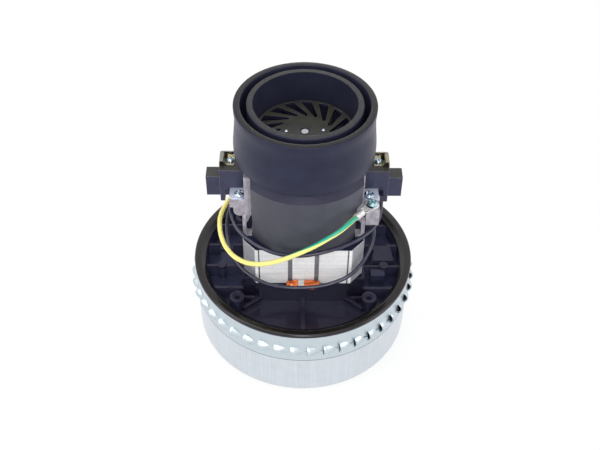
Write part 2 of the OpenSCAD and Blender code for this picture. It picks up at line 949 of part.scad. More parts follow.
// Ring terminal of the earth lead, with its crimp barrel
module earth_terminal() {
  color([0.84, 0.84, 0.84])
    translate([earth_x, earth_y, 0])
      rotate([0, 0, earth_angle])
        difference() {
          union() {
            translate([0, 0, lug_top + seat])
              cylinder(r = 4, h = 0.8);
            box(0, 10.4, -1.9, 1.9, lug_top + seat, lug_top + 0.8);
            translate([9.4, 0, 119.6])
              rotate([0, 90, 0])
                cylinder(r = 2.1, h = 6.5);
          }
          translate([0, 0, lug_top - 1])
            cylinder(r = 2.1, h = 4);
        }
}

module earth_lead() {
  color([0.93, 0.88, 0.40])
    cord(earth_route, earth_wire_d / 2);
}

module upper_black_lead() {
  color([0.13, 0.14, 0.20])
    cord(upper_route, black_wire_d / 2);
}

module lower_black_lead() {
  color([0.13, 0.14, 0.20])
    cord(lower_route, black_wire_d / 2);
}

// Insulated push-on terminal that takes the upper black lead to the right-hand brush
module holder_lead_terminal() {
  color([0.10, 0.11, 0.15])
    box(flange_x - 5, flange_x - 2.9, -10.4, -6.02, 113.1, 117.6);
}

module spade(p, q) {
  d = unit(q - p);
  translate(q)
    rotate([0, 0, atan2(d[1], d[0])])
      union() {
        translate([0.05, 0, 0])
          rotate([0, 90, 0])
            cylinder(r = 1.9, h = 6, $fn = 48);
        box(6, 14, -3.3, 3.3, -1.2, 1.2);
      }
}

// Crimped push-on terminals at the free ends of the three leads
module lead_terminals() {
  color([0.78, 0.74, 0.55])
    union() {
      spade(earth_route[len(earth_route) - 2], earth_route[len(earth_route) - 1]);
      spade(upper_route[len(upper_route) - 2], upper_route[len(upper_route) - 1]);
      spade(lower_route[len(lower_route) - 2], lower_route[len(lower_route) - 1]);
    }
}

// Stepped rotor shaft with a threaded lower end
module shaft() {
  color([0.74, 0.75, 0.77])
    rotate_extrude()
      polygon([
        [0, 5.6], [shaft_r - 0.6, 5.6], [shaft_r, 6.2], [shaft_r, low_bearing_z + bearing_w + 0.3],
        [shaft_mid_d / 2, low_bearing_z + bearing_w + 0.3],
        [shaft_mid_d / 2, top_bearing_z - 0.3], [shaft_r, top_bearing_z - 0.3],
        [shaft_r, fan_top - 2.6], [shaft_r - 0.5, fan_top - 2.1], [stud_r, fan_top - 2.1],
        [stud_r, fan_top - 0.9], [stud_r - 0.4, fan_top - 0.5], [0, fan_top - 0.5]
      ]);
}

module slot_shapes(r_slot) {
  for (i = [0:11])
    rotate([0, 0, i * 30])
      translate([slot_ring_r, 0])
        circle(r = r_slot, $fn = 36);
}

module armature_core() {
  color([0.55, 0.55, 0.57])
    translate([0, 0, stack_z])
      linear_extrude(stack_len)
        difference() {
          circle(r = armature_r);
          circle(r = shaft_mid_d / 2 + seat);
          slot_shapes(3);
          for (i = [0:11])
            rotate([0, 0, i * 30])
              translate([slot_ring_r, -1])
                square([8, 2]);
        }
}

// Armature winding: slot bars and the two heads of end turns
module armature_winding() {
  color([0.72, 0.36, 0.20])
    union() {
      translate([0, 0, stack_z - 1])
        linear_extrude(stack_len + 2)
          slot_shapes(2.9);
      rotate_extrude()
        polygon([
          [6, 55.2], [15, 55.2], [18.6, 57.4], [19.4, 60], [18.6, stack_z - 0.1],
          [6, stack_z - 0.1]
        ]);
      rotate_extrude()
        polygon([
          [6, stack_top + 0.1], [18.6, stack_top + 0.1], [19.4, 95], [18.8, 99],
          [14.6, 105], [13.2, com_z - 0.4], [6, com_z - 0.4]
        ]);
    }
}

module commutator_bars() {
  color([0.74, 0.46, 0.28])
    difference() {
      union() {
        translate([0, 0, com_z])
          tube(com_r, 8.3, com_top - com_z);
        translate([0, 0, com_z])
          tube(com_r + 1.4, 8.3, 3);
      }
      for (i = [0:commutator_bars_n - 1])
        rotate([0, 0, (i + 0.5) * 360 / commutator_bars_n])
          box(7, com_r + 3, -0.25, 0.25, com_z - 1, com_top + 1);
    }
}

module commutator_hub() {
  color([0.20, 0.13, 0.10])
    translate([0, 0, com_z - 0.3])
      tube(8.28, shaft_mid_d / 2 + seat, com_top - com_z + 0.9);
}

module impeller(z) {
  union() {
    translate([0, 0, z])
      tube(impeller_r, impeller_eye, sheet);
    blades(8, impeller_eye + 0.6, impeller_r - 0.6, z + 0.7, impeller_h - 1.4, sheet);
    translate([0, 0, z + impeller_h - sheet])
      tube(impeller_r, shaft_r + seat, sheet);
  }
}

module first_stage_impeller() {
  color([0.80, 0.81, 0.83])
    impeller(first_z);
}

module second_stage_impeller() {
  color([0.80, 0.81, 0.83])
    impeller(second_z);
}

module impeller_spacer() {
  color([0.66, 0.66, 0.68])
    translate([0, 0, first_z + impeller_h + seat])
      tube(spacer_r, shaft_r + seat, second_z - first_z - sheet - 2 * seat);
}

module bearing_spacer() {
  color([0.66, 0.66, 0.68])
    translate([0, 0, second_z + impeller_h + seat])
      tube(6, shaft_r + seat, low_bearing_z - second_z - impeller_h - seat);
}

module shaft_washer() {
  color([0.74, 0.74, 0.76])
    translate([0, 0, first_z + impeller_h - sheet - washer_t - seat])
      tube(9, shaft_r + seat, washer_t);
}

module shaft_nut() {
  color([0.74, 0.74, 0.76])
    translate([0, 0, first_z + impeller_h - sheet - washer_t - nut_h - 2 * seat])
      difference() {
        cylinder(r = 7.5, h = nut_h, $fn = 6);
        translate([0, 0, -1])
          cylinder(r = shaft_r + seat, h = 9);
      }
}

// Cooling fan: slotted disc with a blade along one edge of each slot
module cooling_fan() {
  color([0.10, 0.10, 0.11])
    difference() {
      union() {
        translate([0, 0, fan_top - fan_disc])
          cylinder(r = fan_d / 2, h = fan_disc);
        translate([0, 0, fan_low])
          cylinder(r = 7.4, h = fan_top - fan_low - fan_disc + 0.5);
        for (i = [0:fan_slots - 1])
          rotate([0, 0, fan_phase + i * 360 / fan_slots])
            translate([0, 0, fan_low + 0.8])
              linear_extrude(fan_top - fan_disc - fan_low - 0.3)
                polygon([[27.6, 3.5], [27.9, 2.3], [12.4, -7.2], [11.7, -6.2]]);
      }
      for (i = [0:fan_slots - 1])
        rotate([0, 0, fan_phase + i * 360 / fan_slots])
          translate([0, 0, fan_top - fan_disc - 1])
            linear_extrude(fan_disc + 2)
              polygon([[28.2, 2.2], [28, -4.3], [27.2, -4.9], [13.6, -8], [12.2, -6.4]]);
      translate([0, 0, 140])
        cylinder(r = shaft_r + seat, h = 18);
      translate([0, 0, 150])
        cylinder(r = stud_r + 0.25, h = 20);
      for (a = [0, 180])
        rotate([0, 0, fan_phase + a - 20.25])
          translate([rivet_ring, 0, 140])
            cylinder(r = 1.1, h = 30);
    }
}

// Two bright rivets in the disc beside the hub
module fan_rivets() {
  color([0.84, 0.85, 0.88])
    for (a = [0, 180])
      rotate([0, 0, fan_phase + a - 20.25])
        translate([rivet_ring, 0, fan_top - fan_disc])
          union() {
            cylinder(r = 1.08, h = fan_disc + 0.15);
            translate([0, 0, fan_disc + 0.15])
              cylinder(r1 = 1.08, r2 = 0.6, h = 0.3);
          }
}

// Cooling air cover: neck, shoulder and two long skirts beside the field
module fan_cover() {
  color([0.14, 0.14, 0.15])
    difference() {
      rotate_extrude()
        polygon([
          [neck_in, top_z], [neck_r - 0.5, top_z], [neck_r, top_z - 0.5], [neck_r, shoulder_z],
          [ledge_r, shoulder_z], [ledge_r, shoulder_low + ledge_t + 0.1], [shoulder_r, shoulder_low],
          [skirt_r, seat_z + seat], [skirt_in, seat_z + seat], [shoulder_r - 1.4, shoulder_low - 0.4],
          [ledge_in, shoulder_low + ledge_t], [ledge_in, shoulder_z - 1.7], [neck_in, shoulder_z - 1.7]
        ]);
      box(-60, -cut_x, -60, 60, 80, shoulder_low + ledge_t);
      box(cut_x, 60, -10, 60, 80, shoulder_low + ledge_t);
      box(cut_x, 60, -60, -9, 80, wide_z);
      box(wide_x, 60, -60, -9, wide_z - 1, shoulder_low + ledge_t);
    }
}

// Rubber mounting ring with its channel round the neck
module mount_ring() {
  color([0.12, 0.12, 0.15])
    rotate_extrude()
      polygon([
        [neck_r + seat, ring_low], [ring_r + 0.5, ring_low], [ring_r + 0.5, ring_low + 1],
        [ring_r, ring_low + 1.4],
        [ring_r, top_z - 0.6], [ring_r - 0.6, top_z], [ring_r - ring_wall + 0.4, top_z],
        [ring_r - ring_wall, top_z - 0.4], [ring_r - ring_wall, ring_step], [neck_r + seat, ring_step]
      ]);
}

inlet_cup();
louvre_band();
fan_end_bracket();
stationary_fan();
air_seal();
bearing_retainer();
field_core();
field_coil_front();
field_coil_rear();
coil_ties();
upper_insulator();
lower_insulator();
commutator_bracket();
stack_screws();
lower_bearing_outer_ring();
lower_bearing_balls();
lower_bearing_inner_ring();
upper_bearing_outer_ring();
upper_bearing_balls();
upper_bearing_inner_ring();
brush_holder_left();
brush_holder_right();
brush_guide_left();
brush_guide_right();
brush_left();
brush_right();
brush_spring_left();
brush_spring_right();
holder_clip_left();
holder_clip_right();
clip_screws();
clamp_plates();
clamp_screws();
earth_screw();
earth_terminal();
earth_lead();
upper_black_lead();
lower_black_lead();
holder_lead_terminal();
lead_terminals();
shaft();
armature_core();
armature_winding();
commutator_bars();
commutator_hub();
first_stage_impeller();
second_stage_impeller();
impeller_spacer();
bearing_spacer();
shaft_nut();
shaft_washer();
cooling_fan();
fan_cover();
mount_ring();
fan_rivets();
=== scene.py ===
"""Looks of the vacuum motor unit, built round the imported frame.

Sizes are millimetres in the dataclasses and become metres where a mesh is made. The frame's origin
is the centre of the inlet face, +Z runs up the shaft and X along the two brush holders.
"""

import logging
import math
from dataclasses import dataclass, field
from enum import Enum
from typing import Any, Iterable, Sequence

import bmesh
import bpy
from mathutils import Matrix, Vector
from mathutils.geometry import interpolate_bezier

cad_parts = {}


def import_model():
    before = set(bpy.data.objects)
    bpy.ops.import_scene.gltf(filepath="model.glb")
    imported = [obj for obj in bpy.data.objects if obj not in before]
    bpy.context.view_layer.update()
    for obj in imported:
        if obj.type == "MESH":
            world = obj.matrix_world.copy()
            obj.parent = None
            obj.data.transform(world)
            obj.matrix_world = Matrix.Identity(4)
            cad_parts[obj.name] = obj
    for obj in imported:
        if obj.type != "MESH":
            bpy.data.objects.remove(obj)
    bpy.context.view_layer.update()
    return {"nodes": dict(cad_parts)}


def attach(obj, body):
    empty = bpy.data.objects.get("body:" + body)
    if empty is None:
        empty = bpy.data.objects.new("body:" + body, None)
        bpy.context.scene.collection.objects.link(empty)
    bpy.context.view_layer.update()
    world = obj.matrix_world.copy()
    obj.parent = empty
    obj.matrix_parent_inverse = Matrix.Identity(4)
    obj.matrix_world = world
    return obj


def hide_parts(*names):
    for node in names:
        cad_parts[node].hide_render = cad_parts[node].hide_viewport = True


LOG = logging.getLogger("vacuum_motor")
MM = 0.001
WHITE = (1.0, 1.0, 1.0, 1.0)
HOUSING = "housing"

Point = tuple[float, float, float]
Socket = bpy.types.NodeSocket
Value = float | Sequence[float] | Socket
Piece = bpy.types.Object


def linear(code: str) -> tuple[float, float, float, float]:
    """Turns an sRGB hex code into linear colour.

    Args:
        code: six hex digits, with or without a leading hash.

    Returns:
        Red, green, blue and alpha, each from 0 to 1.
    """
    digits = code.lstrip("#")
    parts = [int(digits[i:i + 2], 16) / 255 for i in (0, 2, 4)]
    red, green, blue = (c / 12.92 if c <= 0.04045 else ((c + 0.055) / 1.055) ** 2.4 for c in parts)
    return red, green, blue, 1.0


def metres(point: Iterable[float]) -> Vector:
    """Returns a point given in millimetres as a vector in metres."""
    return Vector(point) * MM


class Grain(Enum):
    """Direction in which a sheet or forming mark runs."""

    UPRIGHT = (1.0, 1.0, 0.02)
    LEVEL = (0.03, 0.03, 1.0)
    EVEN = (1.0, 1.0, 1.0)


def placed(name: str, data: bpy.types.ID) -> Piece:
    """Puts new data into the scene as an object."""
    made = bpy.data.objects.new(name, data)
    bpy.context.scene.collection.objects.link(made)
    return made


class NodeTree:
    """A node tree with short calls for nodes and links."""

    def __init__(self, tree: bpy.types.NodeTree) -> None:
        """Empties the tree."""
        self.tree = tree
        self.tree.nodes.clear()

    def add(self, kind: str, inputs: dict[str | int, Value] | None = None, **settings: Any) -> bpy.types.Node:
        """Adds one node.

        Args:
            kind: the node's type name.
            inputs: values or sockets for its inputs, by name or index.
            **settings: the node's own attributes.

        Returns:
            The new node.
        """
        node = self.tree.nodes.new(kind)
        for key, value in settings.items():
            setattr(node, key, value)
        for key, value in (inputs or {}).items():
            self.feed(node.inputs[key], value)
        return node

    def feed(self, socket: Socket, value: Value) -> None:
        """Sets a socket to a value, or links it where the value is another socket."""
        if isinstance(value, bpy.types.NodeSocket):
            self.tree.links.new(value, socket)
        else:
            socket.default_value = value

    def sum(self, first: Value, second: Value, operation: str = "ADD") -> Socket:
        """Joins two numbers by a named operation."""
        return self.add("ShaderNodeMath", {0: first, 1: second}, operation=operation).outputs[0]

    def seen(self) -> Socket:
        """1 for a ray that looks straight at a surface, or by way of metal or glass, else 0."""
        path = self.add("ShaderNodeLightPath")
        either = self.sum(path.outputs["Is Camera Ray"], path.outputs["Is Glossy Ray"], "MAXIMUM")
        return self.sum(either, path.outputs["Is Transmission Ray"], "MAXIMUM")


class Graph(NodeTree):
    """A material's node tree, with short calls for the patterns that the finishes share."""

    def __init__(self, name: str) -> None:
        """Makes an empty material with a principled shader.

        Args:
            name: the material's name.
        """
        self.material = bpy.data.materials.new(name)
        self.material.use_nodes = True
        super().__init__(self.material.node_tree)
        self.shader = self.add("ShaderNodeBsdfPrincipled")
        self.output = self.add("ShaderNodeOutputMaterial", {"Surface": self.shader.outputs[0]})

    def set(self, **values: Value) -> None:
        """Feeds the shader's inputs; underscores stand for spaces."""
        for key, value in values.items():
            self.feed(self.shader.inputs[key.replace("_", " ")], value)

    def place(self, stretch: Sequence[float] = (1, 1, 1), turn: Sequence[float] = (0, 0, 0)) -> Socket:
        """Object coordinates, scaled along each axis and turned by radians."""
        spot = self.add("ShaderNodeTexCoord").outputs["Object"]
        return self.add("ShaderNodeMapping", {"Vector": spot, "Scale": stretch, "Rotation": turn}).outputs[0]

    def noise(self, size: float, stretch: Sequence[float] = (1, 1, 1), detail: float = 3.0,
              rough: float = 0.55) -> Socket:
        """Soft noise on object coordinates, with blotches of a size in millimetres."""
        node = self.add("ShaderNodeTexNoise", {
            "Vector": self.place(stretch), "Scale": 1 / (size * MM), "Detail": detail, "Roughness": rough})
        return node.outputs[0]

    def cells(self, size: float) -> Socket:
        """Distance to the nearest of scattered points, whose mean spacing is given in millimetres."""
        node = self.add("ShaderNodeTexVoronoi", {"Vector": self.place(), "Scale": 1 / (size * MM)})
        return node.outputs["Distance"]

    def span(self, value: Value, start: float, end: float, low: float = 0.0, high: float = 1.0) -> Socket:
        """Maps start..end of a value onto low..high, clamped."""
        node = self.add("ShaderNodeMapRange", {0: value, 1: start, 2: end, 3: low, 4: high})
        return node.outputs[0]

    def past(self, value: Socket, limit: float, soft: float) -> Socket:
        """Mask of what lies past a limit, or before it where the half width of its edge is negative."""
        return self.span(value, (limit - soft) * MM, (limit + soft) * MM)

    def between(self, value: Socket, limits: tuple[float, float], soft: float) -> Socket:
        """Mask of what lies between two limits in millimetres, the lower one first."""
        return self.sum(self.past(value, limits[0], soft), self.past(value, limits[1], -soft), "MULTIPLY")

    def mix(self, factor: Value, low: Value, high: Value, blend: str = "MIX") -> Socket:
        """Mixes two colours; a factor of 0 gives the low one and 1 the high one."""
        node = self.add("ShaderNodeMix", {0: factor, 6: low, 7: high}, data_type="RGBA", blend_type=blend)
        return node.outputs[2]

    def shaded(self, base: Value, shade: Socket) -> Socket:
        """Multiplies a colour by a grey level."""
        grey = self.add("ShaderNodeCombineXYZ", {0: shade, 1: shade, 2: shade}).outputs[0]
        return self.mix(1.0, base, grey, "MULTIPLY")

    def axis(self, source: str, index: int) -> Socket:
        """One coordinate of the "Object" position or of the surface "Normal"."""
        vector = self.add("ShaderNodeTexCoord").outputs[source]
        return self.add("ShaderNodeSeparateXYZ", {0: vector}).outputs[index]

    def aside(self, index: int) -> Socket:
        """Distance from the shaft along X for 0 or along Y for 1, in metres."""
        return self.sum(self.axis("Object", index), 0.0, "ABSOLUTE")

    def relief(self, height: Value, depth: float, edge: float = 0.0) -> None:
        """Gives the shader fine relief and softly rounded edges.

        Args:
            height: pattern from 0 to 1.
            depth: its height in millimetres.
            edge: radius of the rounding of sharp edges in millimetres, 0 for none.
        """
        inputs: dict[str | int, Value] = {"Height": height, "Distance": depth * MM, "Strength": 1.0}
        if edge:
            inputs["Normal"] = self.add("ShaderNodeBevel", {"Radius": edge * MM}, samples=4).outputs[0]
        self.set(Normal=self.add("ShaderNodeBump", inputs).outputs[0])

    def edge_wear_and_glint(self, radius: float) -> Socket:
        """Mask of sharp edges, from 0 on a flat face to 1 on an edge.

        Args:
            radius: how far the wear and the painted edge highlight reach, in millimetres.

        Returns:
            The factor socket.
        """
        soft = self.add("ShaderNodeBevel", {"Radius": radius * MM}, samples=4).outputs[0]
        true = self.add("ShaderNodeNewGeometry").outputs["True Normal"]
        dot = self.add("ShaderNodeVectorMath", {0: soft, 1: true}, operation="DOT_PRODUCT").outputs["Value"]
        return self.span(dot, 0.97, 0.75)


@dataclass(frozen=True)
class Finish:
    """What every finish has: a name and a main colour."""

    name: str
    colour: str

    def build(self) -> bpy.types.Material:
        """Makes the material."""
        raise NotImplementedError


@dataclass(frozen=True)
class MouldedPlastic(Finish):
    """Moulded plastic or rubber with fine grain and dust, and painted light: a painted reflection where it
    faces up, painted shading on slopes, painted shade above crown_z, painted light in the side pockets
    and pale edges that are partly rubbed and partly a painted highlight.

    The grain of a real mould is too fine to show, so it is drawn at 0.3 to 1.4 mm. The dust's specks
    are drawn about 0.2 mm wide for the same reason.
    """

    top: str = ""
    slope_shading: str = ""
    roughness: float = 0.45
    variation: float = 0.25
    grain: float = 0.35
    depth: float = 0.02
    edge: float = 0.3
    dust: float = 0.0
    gloss: float = 0.5
    coat: float = 0.0
    rub_and_glint: float = 0.0
    sheen: str = "#a9adcf"
    crown_shade: str = ""
    crown_z: float = 146.0
    pocket_light: str = ""
    pocket_x: float = 40.7
    pocket_z: float = 53.4
    dust_size: float = 2.6
    dust_colour: str = "#b9bcc4"
    rub_and_glint_colour: str = "#9c9ba6"

    def build(self) -> bpy.types.Material:
        """Makes the material."""
        g = Graph(self.name)
        base: Value = linear(self.colour)
        up = g.axis("Normal", 2)
        # Painted shading: faces sloping at about 45 degrees take the slope colour, standing in for the light
        # they catch.
        if self.slope_shading:
            base = g.mix(g.span(up, 0.3, 0.6), base, linear(self.slope_shading))
        # Painted shade: above crown_z, where the cover's neck stands inside the rubber ring, the colour is
        # painted darker and bluer.
        if self.crown_shade:
            above = g.past(g.axis("Object", 2), self.crown_z, 0.1)
            base = g.mix(above, base, linear(self.crown_shade))
        # Painted reflection: faces that look up take the top colour, the light from above painted in.
        if self.top:
            base = g.mix(g.span(up, 0.85, 0.96), base, linear(self.top))
        # Painted light: low faces past pocket_x, in the side pockets, are painted lighter and bluer where
        # light falls in from the sides.
        if self.pocket_light:
            outward = g.past(g.aside(0), self.pocket_x, 0.5)
            low = g.past(g.axis("Object", 2), self.pocket_z, -0.2)
            base = g.mix(g.sum(outward, low, "MULTIPLY"), base, linear(self.pocket_light))
        cloud = g.noise(9.0, detail=4)
        base = g.shaded(base, g.span(cloud, 0.3, 0.7, 1 - self.variation, 1 + self.variation))
        if self.dust:
            speck = g.span(g.cells(self.dust_size), 0.055, 0.03)
            patch = g.span(g.noise(6.0), 0.5, 0.62)
            dusty = g.sum(g.sum(speck, patch, "MULTIPLY"), self.dust, "MULTIPLY")
            base = g.mix(dusty, base, linear(self.dust_colour))
        # Pale edges: partly rubbed wear, partly a painted highlight on edges that catch the light.
        if self.rub_and_glint:
            base = g.mix(g.sum(g.edge_wear_and_glint(0.45), self.rub_and_glint, "MULTIPLY"), base, linear(self.rub_and_glint_colour))
        fine = g.noise(self.grain, detail=2)
        rough = g.span(cloud, 0.25, 0.75, self.roughness - 0.06, self.roughness + 0.06)
        g.set(Base_Color=base, Roughness=rough, Specular_IOR_Level=self.gloss, Coat_Weight=self.coat,
              Coat_Roughness=0.12, Specular_Tint=linear(self.sheen))
        g.relief(fine, self.depth, self.edge)
        return g.material


@dataclass(frozen=True)
class SheetMetal(Finish):
    """Plated or drawn metal with forming marks, drawn about 1 mm wide so that they show, and smudges."""

    tint: str = "#c9ccd2"
    roughness: float = 0.32
    grain: Grain = Grain.EVEN
    grain_size: float = 0.5
    marks: float = 0.12
    depth: float = 0.004
    edge: float = 0.15
    metallic: float = 1.0

    def build(self) -> bpy.types.Material:
        """Makes the material."""
        g = Graph(self.name)
        blotch = g.span(g.noise(7.0, detail=4), 0.35, 0.68)
        lines = g.noise(self.grain_size, self.grain.value, detail=4, rough=0.65)
        base = g.mix(blotch, linear(self.colour), linear(self.tint))
        base = g.shaded(base, g.span(lines, 0.25, 0.75, 1 - self.marks, 1 + self.marks))
        rough = g.sum(g.span(lines, 0.2, 0.8, -0.07, 0.07),
                      g.span(blotch, 0, 1, self.roughness - 0.05, self.roughness + 0.07))
        g.set(Base_Color=base, Metallic=self.metallic, Roughness=rough)
        g.relief(lines, self.depth, self.edge)
        return g.material


@dataclass(frozen=True)
class CastMetal(Finish):
    """Die-cast metal: matt grey skin with flow marks and fine pits."""

    dark: str = "#77726f"
    worn: str = "#eceaf0"
    wear: float = 0.35
    roughness: float = 0.55
    metallic: float = 0.35
    pit: float = 0.45
    pit_depth: float = 0.05
    edge: float = 0.5

    def build(self) -> bpy.types.Material:
        """Makes the material."""
        g = Graph(self.name)
        flow = g.noise(3.2, (1, 1, 0.5), detail=5, rough=0.6)
        base = g.mix(g.span(flow, 0.36, 0.66), linear(self.dark), linear(self.colour))
        base = g.mix(g.sum(g.edge_wear_and_glint(self.edge), self.wear, "MULTIPLY"), base, linear(self.worn))
        rough = g.span(flow, 0.3, 0.7, self.roughness - 0.08, self.roughness + 0.1)
        g.set(Base_Color=base, Metallic=self.metallic, Roughness=rough)
        g.relief(g.noise(self.pit, detail=3), self.pit_depth, self.edge)
        return g.material


@dataclass(frozen=True)
class Laminations(Finish):
    """Stack of punched sheets: fine level lines, each sheet a little lighter or darker.

    The wings beside the middle, the bolt slots, the welded seams and the cut corners are told apart
    by their distance from the shaft along X, in millimetres; front_y is the flat front's along Y. The
    wings carry a light painted shade, and the recessed slots and the side faces of the cut corners a
    darker painted shade; the seams are dark of themselves.
    """

    pitch: float = 0.5
    dark: str = "#8f9095"
    light: str = "#d6d7dc"
    front_y: float = 31.95
    slot: tuple[float, float] = (6.9, 10.0)
    slot_shade: str = "#6c7077"
    wing: tuple[float, float] = (10.0, 27.0)
    wing_shade: str = "#d2d2d8"
    seam: tuple[float, float] = (27.3, 28.2)
    seam_colour: str = "#55585f"
    corner: float = 30.2
    corner_shade: str = "#8e8f96"
    stain_colour: str = "#b3a899"
    fleck_colour: str = "#cbc6d2"

    def build(self) -> bpy.types.Material:
        """Makes the material."""
        g = Graph(self.name)
        height = g.axis("Object", 2)
        step = g.sum(height, 1 / (self.pitch * MM), "MULTIPLY")
        saw = g.sum(step, 1.0, "FRACT")
        joint = g.span(g.sum(g.sum(saw, 0.5, "SUBTRACT"), 0.0, "ABSOLUTE"), 0.5, 0.36)
        sheet = g.sum(step, 1.0, "FLOOR")
        tone = g.add("ShaderNodeTexWhiteNoise", {"W": sheet}, noise_dimensions="1D").outputs["Value"]
        side = g.span(g.axis("Normal", 2), 0.75, 0.5)
        face = g.mix(g.span(tone, 0, 1, 0.0, 0.4), linear(self.colour), linear(self.light))
        across = g.aside(0)
        # Painted shade: the wings beside the middle are painted a little darker, as they catch less light.
        wing = g.sum(g.between(across, self.wing, 0.2), 0.15, "MULTIPLY")
        face = g.mix(wing, face, linear(self.wing_shade))
        # Painted shade: the side faces of the cut corners are painted darker.
        corner = g.sum(g.past(across, self.corner, 0.2), side, "MULTIPLY")
        face = g.mix(corner, face, linear(self.corner_shade))
        # Painted shade: the recessed slots, behind the flat front, are painted darker.
        sunk = g.sum(1.0, g.past(g.aside(1), self.front_y, 0.15), "SUBTRACT")
        slot = g.sum(g.between(across, self.slot, 0.1), sunk, "MULTIPLY")
        face = g.mix(slot, face, linear(self.slot_shade))
        face = g.mix(g.between(across, self.seam, 0.1), face, linear(self.seam_colour))
        groove = g.sum(g.span(joint, 0, 1, 0.38, 0.0), side, "MULTIPLY")
        base = g.mix(groove, face, linear(self.dark))
        stain = g.span(g.noise(5.0, (1, 1, 0.4), detail=4), 0.55, 0.8, 0, 0.22)
        base = g.mix(stain, base, linear(self.stain_colour))
        fleck = g.span(g.noise(0.9, (0.6, 0.6, 1.6), detail=2), 0.45, 0.62, 0, 0.22)
        base = g.mix(fleck, base, linear(self.fleck_colour))
        g.set(Base_Color=base, Metallic=0.0, Roughness=g.span(tone, 0, 1, 0.36, 0.5))
        g.relief(joint, 0.06, 0.25)
        return g.material


@dataclass(frozen=True)
class EnamelWire(Finish):
    """Enamelled copper with a warm sheen, darker gaps between the turns and a shaded underside."""

    dark: str = "#a8491b"
    under: str = "#150a0a"
    under_z: float = 62.4

    def build(self) -> bpy.types.Material:
        """Makes the material."""
        g = Graph(self.name)
        tone = g.noise(1.2, (0.35, 1, 1), detail=3)
        base = g.mix(g.span(tone, 0.35, 0.65), linear(self.dark), linear(self.colour))
        base = g.mix(g.past(g.axis("Object", 2), self.under_z, -0.3), base, linear(self.under))
        turns = g.noise(0.5, (0.08, 1, 1), detail=1)
        g.set(Base_Color=base, Metallic=0.75, Roughness=0.3, Coat_Weight=0.4, Coat_Roughness=0.15)
        g.relief(turns, 0.12)
        return g.material


@dataclass(frozen=True)
class WireSheath(Finish):
    """Soft cable sheath, plain or with a second colour in one broad lengthwise stripe."""

    stripe: str = ""
    roughness: float = 0.32
    smudge: str = "#8d8a80"

    def build(self) -> bpy.types.Material:
        """Makes the material."""
        g = Graph(self.name)
        base: Value = linear(self.colour)
        if self.stripe:
            around = g.add("ShaderNodeSeparateXYZ", {0: g.add("ShaderNodeUVMap", uv_map="sheath").outputs[0]})
            wave = g.sum(g.sum(around.outputs[1], 2 * math.pi, "MULTIPLY"), 0.0, "SINE")
            base = g.mix(g.span(wave, 0.5, 0.6), base, linear(self.stripe))
        cloud = g.noise(5.0, detail=4)
        base = g.mix(g.span(cloud, 0.5, 0.8, 0, 0.18), base, linear(self.smudge))
        g.set(Base_Color=base, Roughness=g.span(cloud, 0.3, 0.7, self.roughness, self.roughness + 0.14),
              Coat_Weight=0.25, Coat_Roughness=0.2)
        g.relief(g.noise(0.8, detail=2), 0.03)
        return g.material


@dataclass(frozen=True)
class WovenCord(Finish):
    """Twisted white lacing cord, its twist drawn coarser than the real one so that it shows."""

    shade: str = "#b8bab4"

    def build(self) -> bpy.types.Material:
        """Makes the material."""
        g = Graph(self.name)
        twist = g.add("ShaderNodeTexWave", {
            "Vector": g.place((1, 1, 1), (0, 0, 0.7)), "Scale": 900.0, "Distortion": 1.5}).outputs["Fac"]
        base = g.mix(twist, linear(self.colour), linear(self.shade))
        g.set(Base_Color=base, Roughness=0.85, Sheen_Weight=0.3)
        g.relief(twist, 0.15)
        return g.material


# Drawn aluminium: pale and softly blurred, with upright streaks from the drawing.
CUP = SheetMetal("cup_aluminium", "#d0d8de", tint="#d7dce3", roughness=0.34, grain=Grain.UPRIGHT,
                 grain_size=1.1, marks=0.08, depth=0.003, edge=0.3)
# Zinc-plated steel sheet, pressed: pale, even, a little bluer than the cup.
ZINC_BAND = SheetMetal("zinc_band", "#c6d1d8", tint="#cad4db", roughness=0.34, grain=Grain.UPRIGHT,
                       grain_size=1.6, marks=0.02, depth=0.0, edge=0.2)
# A painted shadow: the shaded gap under the band's edge drawn as a dull grey ring.
SEAM_SHADE = SheetMetal("seam_shade", "#8d9096", tint="#85888e", roughness=0.5, grain_size=0.8, marks=0.05)
# Zinc-plated spring steel, passivated: nearly a mirror, with yellowish patches; its colour is darkened, a
# painted reflection of the dark things round it.
ZINC_CLIP = SheetMetal("zinc_clip", "#8b8d8c", tint="#a39670", roughness=0.2, grain_size=0.9, marks=0.08,
                       edge=0.2)
# Zinc-plated steel plate: pale satin, half of it diffuse.
ZINC_PLATE = SheetMetal("zinc_plate", "#d6e2f4", tint="#e8eef8", roughness=0.36, grain_size=0.8, marks=0.05,
                        depth=0.003, metallic=0.55)
# Zinc-plated screws: bluish with sharp glints; the earth screw is greener.
SCREW_STEEL = SheetMetal("screw_steel", "#bccad6", tint="#a9b7c4", roughness=0.26, grain_size=0.6,
                         marks=0.1, edge=0.1)
EARTH_STEEL = SheetMetal("earth_screw_steel", "#b4d0d6", tint="#93b7c0", roughness=0.26, grain_size=0.6,
                         edge=0.1)
# Tin-plated brass, crimped: whitish, dented and blotchy.
TINNED = SheetMetal("tinned_terminal", "#f4f3f1", tint="#c9c7c8", roughness=0.4, grain_size=0.45,
                    marks=0.25, depth=0.05, edge=0.25, metallic=0.6)
